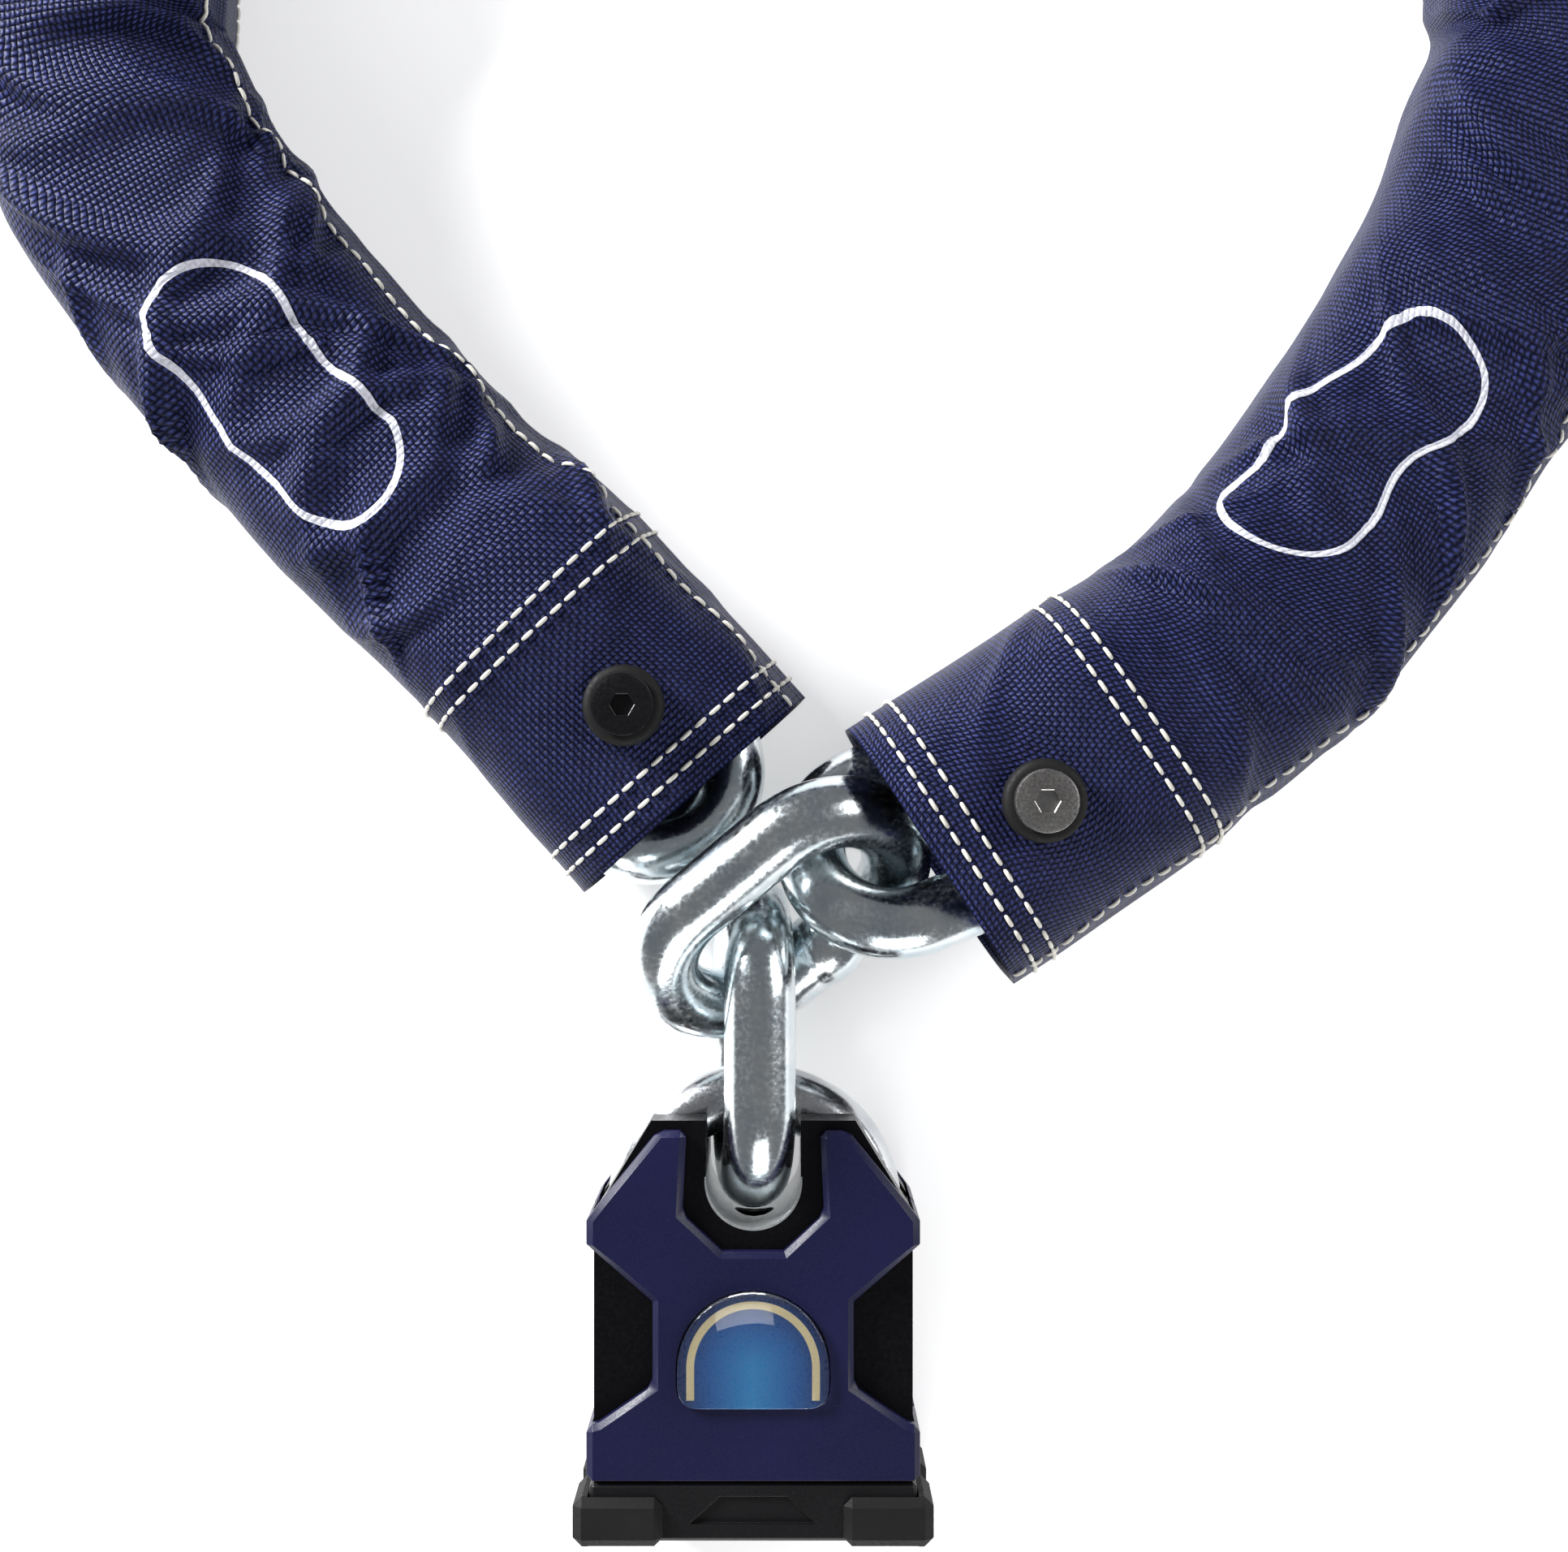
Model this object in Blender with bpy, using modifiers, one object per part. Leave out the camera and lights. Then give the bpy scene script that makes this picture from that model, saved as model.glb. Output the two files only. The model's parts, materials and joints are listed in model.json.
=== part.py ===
"""Chain lock: a closed-shoulder padlock on a sleeved, welded security chain.

The lock lies on its back, its shackle towards +Y, and the chain's loop lies beyond it. Every piece is
modelled in the lock's own frame (origin under the middle of the lock's base edge) and hung from one
empty, which moves that frame so that the world origin is under the middle of the whole object.
"""

import bmesh
import bpy
from math import ceil, cos, pi, radians, sin
from mathutils import Matrix, Vector

MM = 0.001
GAP = 0.3 * MM  # clearance between pieces that touch

# ---- where the lock's frame stands in the world ------------------------------------------------
LOCK_AT = Vector((-15.7 * MM, -234.5 * MM, 0))

# ---- chain -------------------------------------------------------------------------------------
WIRE = 14 * MM
LINK_INNER_LENGTH = 39 * MM
LINK_INNER_WIDTH = 18.5 * MM
BEND_RADIUS = (LINK_INNER_WIDTH + WIRE) / 2
HALF_STRAIGHT = (LINK_INNER_LENGTH - LINK_INNER_WIDTH) / 2
BEND_STEPS = 8

# Each link: x, y, z of its centre, then its heading, climb and roll in degrees. link_01 is at the
# left mouth and link_24 at the right; the ring link joins link_24 to the end link on the shackle.
LINKS = {
    "link_01": (-27.2, 158.9, 22.1, 129, 3, 13),
    "link_02": (-50.5, 185.9, 22.9, 134, -2, -54),
    "link_03": (-77, 212.6, 21.3, 133, -1, 33),
    "link_04": (-101.9, 240.4, 21, 130, 0, -41),
    "link_05": (-123.1, 271, 21.1, 118, 0, 41),
    "link_06": (-132.5, 305.5, 20.2, 91, 1, -39),
    "link_07": (-127.7, 341.6, 21.1, 74, 0, 41),
    "link_08": (-112.3, 375.1, 20.9, 57, 0, -41),
    "link_09": (-88.4, 403.3, 21.1, 42, 0, 41),
    "link_10": (-58.2, 424.5, 21, 28, 0, -41),
    "link_11": (-23.6, 437.9, 21, 14, 0, 41),
    "link_12": (13.1, 442.7, 21, 1, 0, -41),
    "link_13": (50, 439, 21, -12, 0, 41),
    "link_14": (84.9, 426.8, 21, -26, 0, -41),
    "link_15": (115.9, 406.6, 21.1, -40, 0, 41),
    "link_16": (140.8, 379.3, 20.9, -55, 0, -41),
    "link_17": (157.4, 346.4, 21.2, -72, 0, 41),
    "link_18": (163.8, 310.1, 20.2, -88, -1, -40),
    "link_19": (157.2, 273.5, 21.5, -111, 0, 41),
    "link_20": (140.8, 238.8, 20.2, -120, 0, -40),
    "link_21": (119.4, 206.9, 21.8, -128, 2, 44),
    "link_22": (94.5, 180, 22, -140, 2, -24),
    "link_23": (65.1, 157.2, 25.3, -143, 5, 84),
    "link_24": (36.9, 139, 32.1, 21, -10, -27),
    "ring_link": (5.3, 123.4, 34.8, 40, 9, 44),
    "end_link": (-0.4, 96.6, 23.2, 90, 0, -84),
}

# ---- the sleeve's line, from the left mouth round the loop to the right mouth --------------------
# Each point is x, y, z of the middle of the sleeve, then its half width and half height.
ROUTE_START = [
    (-12.3, 145.6, 19.5, 29, 19.4),
    (-25.3, 160.3, 20.5, 28.5, 20.4),
    (-47, 184.3, 23, 28, 22.9),
    (-68, 203, 21.5, 27.5, 21.5),
    (-91, 228, 21, 27.5, 21),
    (-112, 253, 21, 27.5, 21),
    (-127, 278, 21, 27.5, 21),
]
ROUTE_END = [
    (158, 274, 21, 27.5, 21),
    (147, 247, 21, 27.5, 21),
    (130, 219, 21, 27.5, 21),
    (114, 197, 23, 27.5, 23),
    (94, 175.3, 26, 27.5, 26),
    (64.5, 154, 28.3, 28.5, 28.3),
    (34.5, 134.2, 29, 29, 28.8),
]
CROWN_OF_LOOP = (15.7, 303, 150, 140)  # centre x, y and half axes of the far end of the loop
CROWN_STEPS = 8
ROUTE_SMOOTHING = 6
SLEEVE_WALL = 0.9 * MM
SLEEVE_SQUARENESS = 3.0
SLEEVE_SIDES = 16
SLEEVE_STATION = 18 * MM

# ---- sleeve bolts --------------------------------------------------------------------------------
SLEEVE_BOLTS = {"left": (-24.9, 163.3), "right": (54.4, 145.1)}
BOLT_HEAD_RADIUS = 6 * MM
BOLT_HEAD_HEIGHT = 2.5 * MM
COLLAR_RADIUS = 7.9 * MM
COLLAR_HEIGHT = 3.5 * MM
BARREL_RADIUS = 3.2 * MM
BARREL_BORE = 2.1 * MM
FLANGE_RADIUS = 5 * MM
FLANGE_HEIGHT = 0.8 * MM

# ---- lock ----------------------------------------------------------------------------------------
MID_Z = 21 * MM
BODY_HALF_WIDTH = 31.2 * MM
BODY_HALF_DEPTH = 16 * MM
BODY_BOTTOM = 4.5 * MM
SHOULDER_TOP = 82.3 * MM
SHOULDER_CORNER = 64 * MM
SHOULDER_SHELF = 20 * MM
SLOT_HALF_WIDTH = 9.3 * MM
SADDLE = 61.3 * MM
SHACKLE_RADIUS = 6.3 * MM
SHACKLE_BORE = 6.55 * MM
LEG_X = 23.3 * MM
LEG_BOTTOM = 26 * MM
LEG_BORE_BOTTOM = 23 * MM
ARCH_BASE = 63.5 * MM
ARCH_RISE = 21.8 * MM
CROWN_Y = ARCH_BASE + ARCH_RISE
CYLINDER_RADIUS = 12 * MM
CYLINDER_BORE = 12.3 * MM
CYLINDER_TOP = 37 * MM
CHAMBER_TOP = 50.5 * MM
PLUG_RADIUS = 6.5 * MM
PLUG_BORE = 6.6 * MM
BALL_Y = 45 * MM
BALL_RADIUS = 4 * MM
BALL_BORE = 4.15 * MM
BALL_REST_X = 12.85 * MM
BALL_TRAVEL = 2.4 * MM
CAM_SMALL = 8.75 * MM
CAM_BOTTOM = 39.2 * MM
CAM_TOP = 49.8 * MM
PIN_ROWS = [10, 15, 20, 25, 30]
PIN_RADIUS = 1.4 * MM
PIN_BORE = 1.6 * MM

COVER_HALF_DEPTH = 19.5 * MM
COVER_HALF_WIDTH = 32.5 * MM
COVER_CHAMFER = 1.2 * MM
BADGE_HALF_WIDTH = 15 * MM
BADGE_BOTTOM = 26.8 * MM
BADGE_ARCH_Y = 34.8 * MM
BADGE_RECESS = 1.2 * MM
BADGE_PLATE = 0.7 * MM
BADGE_DOME = 1.7 * MM

BASE_HALF_WIDTH = 31.9 * MM
BASE_HALF_DEPTH = 19 * MM
BASE_BOTTOM = 0.8 * MM
BASE_TOP = 12.3 * MM
BUMPER_HALF_WIDTH = 35.1 * MM
BUMPER_INNER = 17.4 * MM
BUMPER_HALF_DEPTH = 21 * MM
BUMPER_TOP = 9.8 * MM
SHUTTER_HALF = 7.5 * MM
SHUTTER_TRAVEL = 12 * MM
KEYHOLE_RADIUS = 5 * MM

COLOURS = {
    "zinc_plated_steel": ((0.70, 0.73, 0.76), 0.25, 1.0),
    "sleeve_nylon": ((0.020, 0.022, 0.075), 0.8, 0.0),
    "bolt_steel": ((0.50, 0.49, 0.50), 0.35, 1.0),
    "collar_rubber": ((0.012, 0.012, 0.013), 0.6, 0.0),
    "blackened_steel": ((0.010, 0.010, 0.012), 0.35, 1.0),
    "cover_plastic": ((0.012, 0.013, 0.045), 0.35, 0.0),
    "badge_print": ((0.02, 0.12, 0.45), 0.3, 0.0),
    "clear_resin": ((0.75, 0.85, 0.95), 0.05, 0.0),
    "base_plastic": ((0.010, 0.010, 0.012), 0.45, 0.0),
    "bumper_rubber": ((0.014, 0.014, 0.016), 0.7, 0.0),
    "brass": ((0.60, 0.42, 0.16), 0.3, 1.0),
    "bright_steel": ((0.62, 0.62, 0.63), 0.25, 1.0),
}


# ---- scene, materials and small builders ---------------------------------------------------------
def clear_scene():
    for old in list(bpy.data.objects):
        bpy.data.objects.remove(old, do_unlink=True)


def new_collection(name):
    group = bpy.data.collections.new(name)
    bpy.context.scene.collection.children.link(group)
    return group


def new_materials():
    made = {}
    for name, (colour, roughness, metallic) in COLOURS.items():
        mat = bpy.data.materials.new(name)
        mat.use_nodes = True
        shader = mat.node_tree.nodes["Principled BSDF"]
        shader.inputs["Base Color"].default_value = (*colour, 1)
        shader.inputs["Roughness"].default_value = roughness
        shader.inputs["Metallic"].default_value = metallic
        made[name] = mat
    return made


clear_scene()
PARTS = new_collection("chain_lock")
CUTTERS = new_collection("chain_lock_cutters")
MATERIALS = new_materials()


def new_empty(name, at, parent=None):
    """An empty at a point of the lock's frame: the pivot that a moving body hangs from."""
    empty = bpy.data.objects.new(name, None)
    PARTS.objects.link(empty)
    empty.parent = parent
    empty.location = at
    return empty


FRAME = new_empty("lock_frame", LOCK_AT)


def place(name, data, material=None, pivot=None):
    """Adds an object whose mesh is in the lock's frame, under the frame's empty or under a pivot."""
    made = bpy.data.objects.new(name, data)
    if material is None:
        CUTTERS.objects.link(made)
        made.hide_render = True
        made.display_type = "WIRE"
    else:
        PARTS.objects.link(made)
        if not data.materials:
            data.materials.append(MATERIALS[material])
    made.parent = pivot or FRAME
    if pivot:
        made.location = -pivot.location
    return made


def mesh_from(bm, name, smooth=35):
    bmesh.ops.recalc_face_normals(bm, faces=bm.faces)
    mesh = bpy.data.meshes.new(name)
    bm.to_mesh(mesh)
    bm.free()
    mesh.shade_smooth()
    mesh.set_sharp_from_angle(angle=radians(smooth))
    return mesh


def box_mesh(name, low, high):
    low = Vector(low)
    high = Vector(high)
    bm = bmesh.new()
    bmesh.ops.create_cube(bm, size=1)
    bmesh.ops.scale(bm, vec=high - low, verts=bm.verts)
    bmesh.ops.translate(bm, vec=(low + high) / 2, verts=bm.verts)
    return mesh_from(bm, name)


def rod_mesh(name, start, end, radius, sides=24):
    """A round bar between two points."""
    start = Vector(start)
    end = Vector(end)
    bm = bmesh.new()
    length = (end - start).length
    bmesh.ops.create_cone(
        bm, cap_ends=True, segments=sides, radius1=radius, radius2=radius, depth=length
    )
    turn = (end - start).to_track_quat("Z", "Y").to_matrix().to_4x4() @ Matrix.Rotation(pi / sides, 4, "Z")
    bmesh.ops.transform(bm, matrix=Matrix.Translation((start + end) / 2) @ turn, verts=bm.verts)
    return mesh_from(bm, name)


def ball_mesh(name, centre, radius, rings=10):
    bm = bmesh.new()
    bmesh.ops.create_uvsphere(bm, u_segments=2 * rings, v_segments=rings, radius=radius)
    bmesh.ops.translate(bm, vec=centre, verts=bm.verts)
    return mesh_from(bm, name)


def plate_mesh(name, outline, z_low, z_high):
    """A flat outline, given in x and y, as a plate between two heights."""
    curve = bpy.data.curves.new(name, "CURVE")
    curve.dimensions = "2D"
    curve.fill_mode = "BOTH"
    curve.extrude = (z_high - z_low) / 2
    spline = curve.splines.new("POLY")
    spline.points.add(len(outline) - 1)
    for point, (x, y) in zip(spline.points, outline):
        point.co = (x, y, 0, 1)
    spline.use_cyclic_u = True
    holder = bpy.data.objects.new(name, curve)
    PARTS.objects.link(holder)
    mesh = bpy.data.meshes.new_from_object(holder.evaluated_get(bpy.context.evaluated_depsgraph_get()))
    bpy.data.objects.remove(holder, do_unlink=True)
    bm = bmesh.new()
    bm.from_mesh(mesh)
    bmesh.ops.remove_doubles(bm, verts=bm.verts, dist=1e-6)
    bmesh.ops.translate(bm, vec=(0, 0, (z_low + z_high) / 2), verts=bm.verts)
    return mesh_from(bm, name)


def mirrored(half):
    """A closed outline from its right half, listed upwards; a point on the middle line is kept once."""
    return half + [(-x, y) for x, y in reversed(half) if x > GAP / 10]


def arc(centre, radius_x, radius_y, start, end, steps):
    """Points on an ellipse's arc between two angles in degrees."""
    points = []
    for i in range(steps + 1):
        angle = radians(start + (end - start) * i / steps)
        points.append((centre[0] + radius_x * cos(angle), centre[1] + radius_y * sin(angle)))
    return points


def scaled(points):
    return [(x * MM, y * MM) for x, y in points]


def cut(target, *cutters):
    for cutter in cutters:
        modifier = target.modifiers.new(cutter.name, "BOOLEAN")
        modifier.operation = "DIFFERENCE"
        modifier.object = cutter


def soften(target, width, segments=1, angle=35):
    """Chamfers or rounds the sharp edges of a piece."""
    modifier = target.modifiers.new("edges", "BEVEL")
    modifier.width = width
    modifier.segments = segments
    modifier.limit_method = "ANGLE"
    modifier.angle_limit = radians(angle)
    return modifier


def turned(name, profile, at, material, pivot=None, steps=32):
    """A turned piece: its profile (radius, height), listed from its top down, spun about Z."""
    mesh = bpy.data.meshes.new(name)
    points = [(radius, 0, height) for radius, height in profile]
    edges = [(i, i + 1) for i in range(len(points) - 1)]
    if profile[0][0] > 0:
        edges.append((len(points) - 1, 0))
    mesh.from_pydata(points, edges, [])
    made = place(name, mesh, material, pivot)
    made.location = Vector(at) + made.location
    screw = made.modifiers.new("turn", "SCREW")
    screw.axis = "Z"
    screw.angle = 2 * pi
    screw.steps = steps
    screw.render_steps = steps
    screw.use_merge_vertices = True
    screw.merge_threshold = 1e-5
    return made


# ---- chain -----------------------------------------------------------------------------------------
def link_curve():
    """The wire of one link: two half circles joined by straights, along X, lying flat."""
    right = arc((HALF_STRAIGHT, 0), BEND_RADIUS, BEND_RADIUS, -90, 90, BEND_STEPS)
    left = [(-x, -y) for x, y in right]
    curve = bpy.data.curves.new("link_wire", "CURVE")
    curve.dimensions = "3D"
    curve.bevel_depth = WIRE / 2
    curve.bevel_resolution = 2
    spline = curve.splines.new("POLY")
    spline.points.add(len(right) + len(left) - 1)
    for point, (x, y) in zip(spline.points, right + left):
        point.co = (x, y, 0, 1)
    spline.use_cyclic_u = True
    return curve


LINK_WIRE = link_curve()


def add_link(name, pivot=None):
    long_axis, wide_axis = link_axes(name)
    turn = Matrix((long_axis, wide_axis, long_axis.cross(wide_axis))).transposed()
    link = place(name, LINK_WIRE, "zinc_plated_steel", pivot)
    link.location = link.location + link_centre(name)
    link.rotation_euler = turn.to_euler()


def link_axes(name):
    """The directions of a link's length and width, from its heading, climb and roll."""
    heading, climb, roll = (radians(angle) for angle in LINKS[name][3:])
    long_axis = Vector((cos(heading) * cos(climb), sin(heading) * cos(climb), sin(climb)))
    level = Vector((-sin(heading), cos(heading), 0))
    return long_axis, level * cos(roll) + long_axis.cross(level) * sin(roll)


def link_centre(name):
    return Vector(LINKS[name][:3]) * MM


def sleeve_route():
    """The sleeve's line and half sizes as smooth points: a Catmull-Rom curve through the route."""
    centre_x, centre_y, half_x, half_y = CROWN_OF_LOOP
    crown = arc((centre_x, centre_y), half_x, half_y, 180, 0, CROWN_STEPS)
    knots = ROUTE_START + [(x, y, 21, 27.5, 21) for x, y in crown] + ROUTE_END
    knots = [Vector(knot) * MM for knot in knots]
    knots = [2 * knots[0] - knots[1]] + knots + [2 * knots[-1] - knots[-2]]
    points = []
    for before, a, b, after in zip(knots, knots[1:], knots[2:], knots[3:]):
        for i in range(ROUTE_SMOOTHING):
            t = i / ROUTE_SMOOTHING
            points.append(
                (2 * a + (b - before) * t + (2 * before - 5 * a + 4 * b - after) * t**2
                 + (3 * a - before - 3 * b + after) * t**3) / 2
            )
    return points + [knots[-2]]


ROUTE = sleeve_route()


def travelled(points):
    """The distance along the route at each of its points."""
    total = [0.0]
    for a, b in zip(points, points[1:]):
        total.append(total[-1] + (b.xyz - a.xyz).length)
    return total


TRAVELLED = travelled(ROUTE)


def route_at(distance):
    """The route's point and half sizes at a distance from the left mouth."""
    distance = min(max(distance, 0), TRAVELLED[-1])
    for i in range(len(ROUTE) - 1):
        if distance <= TRAVELLED[i + 1]:
            part = (distance - TRAVELLED[i]) / (TRAVELLED[i + 1] - TRAVELLED[i])
            return ROUTE[i].lerp(ROUTE[i + 1], part)
    return ROUTE[-1]


def heading_at(distance, reach=10 * MM):
    return (route_at(distance + reach).xyz - route_at(distance - reach).xyz).normalized()


def sleeve_height(point):
    """The top of the sleeve over a point, and the route's point nearest to it."""
    nearest = min(ROUTE, key=lambda p: (p.xy - point).length)
    across = (nearest.xy - point).length / nearest[3]
    lift = (1 - min(across, 0.95) ** SLEEVE_SQUARENESS) ** (1 / SLEEVE_SQUARENESS)
    return nearest.z + nearest[4] * lift


def build_sleeve():
    """The fabric tube: a rounded section carried along the route, open at both mouths."""
    stations = ceil(TRAVELLED[-1] / SLEEVE_STATION)
    bm = bmesh.new()
    rings = []
    for i in range(stations + 1):
        distance = TRAVELLED[-1] * i / stations
        x, y, z, half_width, half_height = route_at(distance)
        heading = heading_at(distance)
        side = Vector((-heading.y, heading.x, 0)).normalized()
        ring = []
        for j in range(SLEEVE_SIDES):
            angle = 2 * pi * j / SLEEVE_SIDES
            power = 2 / SLEEVE_SQUARENESS
            across = half_width * abs(cos(angle)) ** power * (1 if cos(angle) > 0 else -1)
            up = half_height * abs(sin(angle)) ** power * (1 if sin(angle) > 0 else -1)
            ring.append(bm.verts.new(Vector((x, y, z + up)) + side * across))
        rings.append(ring)
    for ring, following in zip(rings, rings[1:]):
        for j in range(SLEEVE_SIDES):
            k = (j + 1) % SLEEVE_SIDES
            bm.faces.new((ring[j], ring[k], following[k], following[j]))
    sleeve = place("sleeve", mesh_from(bm, "sleeve", 60), "sleeve_nylon")
    wall = sleeve.modifiers.new("wall", "SOLIDIFY")
    wall.thickness = SLEEVE_WALL
    wall.offset = -1
    for side, spot in SLEEVE_BOLTS.items():
        spot = Vector(spot) * MM
        top = sleeve_height(spot)
        low = (*spot, top - 8 * MM)
        high = (*spot, top + 8 * MM)
        hole = place(f"bolt_hole_{side}", rod_mesh("hole", low, high, BARREL_RADIUS + GAP))
        cut(sleeve, hole)


def build_sleeve_bolts():
    """A flat-headed bolt in a flanged barrel nut, over a rubber collar, near each mouth."""
    for side, spot in SLEEVE_BOLTS.items():
        spot = Vector(spot) * MM
        at = (*spot, sleeve_height(spot) + 1.9 * MM)
        head_bottom = COLLAR_HEIGHT + GAP
        barrel_top = COLLAR_HEIGHT
        flange_top = -4.2 * MM
        socket = 2.3 * MM
        turned(
            f"sleeve_bolt_{side}",
            [
                (0, head_bottom + BOLT_HEAD_HEIGHT - 1.5 * MM),
                (socket, head_bottom + BOLT_HEAD_HEIGHT - 1.5 * MM),
                (socket, head_bottom + BOLT_HEAD_HEIGHT),
                (BOLT_HEAD_RADIUS - 0.4 * MM, head_bottom + BOLT_HEAD_HEIGHT),
                (BOLT_HEAD_RADIUS, head_bottom + BOLT_HEAD_HEIGHT - 0.4 * MM),
                (BOLT_HEAD_RADIUS, head_bottom),
                (BARREL_BORE - GAP / 2, head_bottom),
                (BARREL_BORE - GAP / 2, flange_top),
                (0, flange_top),
            ],
            at,
            "bolt_steel",
            steps=24,
        )
        turned(
            f"bolt_collar_{side}",
            [
                (COLLAR_RADIUS - 1 * MM, COLLAR_HEIGHT),
                (COLLAR_RADIUS, COLLAR_HEIGHT - 1 * MM),
                (COLLAR_RADIUS, 0),
                (BARREL_RADIUS + GAP, 0),
                (BARREL_RADIUS + GAP, COLLAR_HEIGHT),
            ],
            at,
            "collar_rubber",
            steps=24,
        )
        turned(
            f"barrel_nut_{side}",
            [
                (BARREL_RADIUS, barrel_top),
                (BARREL_RADIUS, flange_top),
                (FLANGE_RADIUS, flange_top),
                (FLANGE_RADIUS, flange_top - FLANGE_HEIGHT),
                (BARREL_BORE, flange_top - FLANGE_HEIGHT),
                (BARREL_BORE, barrel_top),
            ],
            at,
            "bolt_steel",
            steps=24,
        )


# ---- pivots of the moving bodies -------------------------------------------------------------------
MOUTH_LINK_TIP = link_centre("link_24") - link_axes("link_24")[0] * (HALF_STRAIGHT + BEND_RADIUS)
RING_LONG, RING_WIDE = link_axes("ring_link")
RING_BAR = link_centre("ring_link") - RING_WIDE * BEND_RADIUS
END_LINK_BEND = link_centre("end_link") + Vector((0, HALF_STRAIGHT, 0))
END_LINK_HOOK = RING_BAR + RING_LONG * (END_LINK_BEND - RING_BAR).dot(RING_LONG)
RING_PIVOT = new_empty("ring_pivot", MOUTH_LINK_TIP, FRAME)
END_PIVOT = new_empty("end_link_pivot", END_LINK_HOOK, FRAME)
SHACKLE_PIVOT = new_empty("shackle_pivot", Vector((0, CROWN_Y, MID_Z)), FRAME)
LOCK_PIVOT = new_empty("lock_slide", Vector((0, BASE_BOTTOM, MID_Z)), FRAME)
PLUG_PIVOT = new_empty("plug_axis", Vector((0, BASE_BOTTOM, MID_Z)), FRAME)
SHUTTER_PIVOT = new_empty("shutter_slide", Vector((0, BASE_BOTTOM, MID_Z)), FRAME)
BALL_PIVOTS = {
    side: new_empty(f"ball_slide_{side}", Vector((sign * BALL_REST_X, BALL_Y, MID_Z)), FRAME)
    for side, sign in (("left", -1), ("right", 1))
}


def build_chain():
    pivots = {"ring_link": RING_PIVOT, "end_link": END_PIVOT}
    for name in LINKS:
        add_link(name, pivots.get(name))


# ---- lock ------------------------------------------------------------------------------------------
def arch_points(grow, steps=16):
    """The arch's line, or one that stands off it by grow, from the right leg over to the left."""
    return arc((0, ARCH_BASE), LEG_X + grow, ARCH_RISE + grow, 0, 180, steps)


def build_shackle():
    path = [(LEG_X, LEG_BOTTOM)] + arch_points(0) + [(-LEG_X, LEG_BOTTOM)]
    curve = bpy.data.curves.new("shackle_bar", "CURVE")
    curve.dimensions = "3D"
    curve.bevel_depth = SHACKLE_RADIUS
    curve.bevel_resolution = 4
    curve.use_fill_caps = True
    spline = curve.splines.new("POLY")
    spline.points.add(len(path) - 1)
    for point, (x, y) in zip(spline.points, path):
        point.co = (x, y, MID_Z, 1)
    holder = bpy.data.objects.new("shackle_bar", curve)
    PARTS.objects.link(holder)
    mesh = bpy.data.meshes.new_from_object(holder.evaluated_get(bpy.context.evaluated_depsgraph_get()))
    bpy.data.objects.remove(holder, do_unlink=True)
    bm = bmesh.new()
    bm.from_mesh(mesh)
    bmesh.ops.remove_doubles(bm, verts=bm.verts, dist=1e-6)
    shackle = place("shackle", mesh_from(bm, "shackle"), "blackened_steel", SHACKLE_PIVOT)
    locked_x = BALL_REST_X + BALL_TRAVEL
    for sign in (-1, 1):
        centre = (sign * locked_x, BALL_Y, MID_Z)
        cut(shackle, place("notch", ball_mesh("notch", centre, BALL_RADIUS + GAP)))


def body_outline():
    """The steel block seen from the front, with its two shoulders and the round saddle between."""
    saddle_centre = (0, SADDLE + SLOT_HALF_WIDTH)
    saddle = arc(saddle_centre, SLOT_HALF_WIDTH, SLOT_HALF_WIDTH, 0, -180, 14)
    return [
        (-BODY_HALF_WIDTH, BODY_BOTTOM),
        (BODY_HALF_WIDTH, BODY_BOTTOM),
        (BODY_HALF_WIDTH, SHOULDER_CORNER),
        (SHOULDER_SHELF, SHOULDER_TOP),
        (SLOT_HALF_WIDTH, SHOULDER_TOP),
        *saddle,
        (-SLOT_HALF_WIDTH, SHOULDER_TOP),
        (-SHOULDER_SHELF, SHOULDER_TOP),
        (-BODY_HALF_WIDTH, SHOULDER_CORNER),
    ]


def build_lock_body():
    front = MID_Z + BODY_HALF_DEPTH
    back = MID_Z - BODY_HALF_DEPTH
    block = plate_mesh("lock_body", body_outline(), back, front)
    body = place("lock_body", block, "blackened_steel", LOCK_PIVOT)
    half = SHACKLE_BORE + GAP / 6
    far = 60 * MM
    channel = [(far, ARCH_BASE), *arch_points(-half), (-far, ARCH_BASE), (-far, 2 * far), (far, 2 * far)]
    low = MID_Z - half
    high = MID_Z + half
    cut(body, place("shackle_channel", plate_mesh("shackle_channel", channel, low, high)))
    for sign in (-1, 1):
        bottom = (sign * LEG_X, LEG_BORE_BOTTOM, MID_Z)
        top = (sign * LEG_X, SHOULDER_CORNER + 4 * MM, MID_Z)
        cut(body, place("leg_bore", rod_mesh("leg_bore", bottom, top, SHACKLE_BORE)))
    cylinder = rod_mesh("cylinder_bore", (0, 0, MID_Z), (0, CHAMBER_TOP, MID_Z), CYLINDER_BORE, 32)
    balls = rod_mesh("ball_bore", (-LEG_X, BALL_Y, MID_Z), (LEG_X, BALL_Y, MID_Z), BALL_BORE)
    drain = rod_mesh("drain", (0, 56 * MM, MID_Z), (0, 70 * MM, MID_Z), 4 * MM)
    for name, mesh in (("cylinder_bore", cylinder), ("ball_bore", balls), ("drain", drain)):
        cut(body, place(name, mesh))


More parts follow.
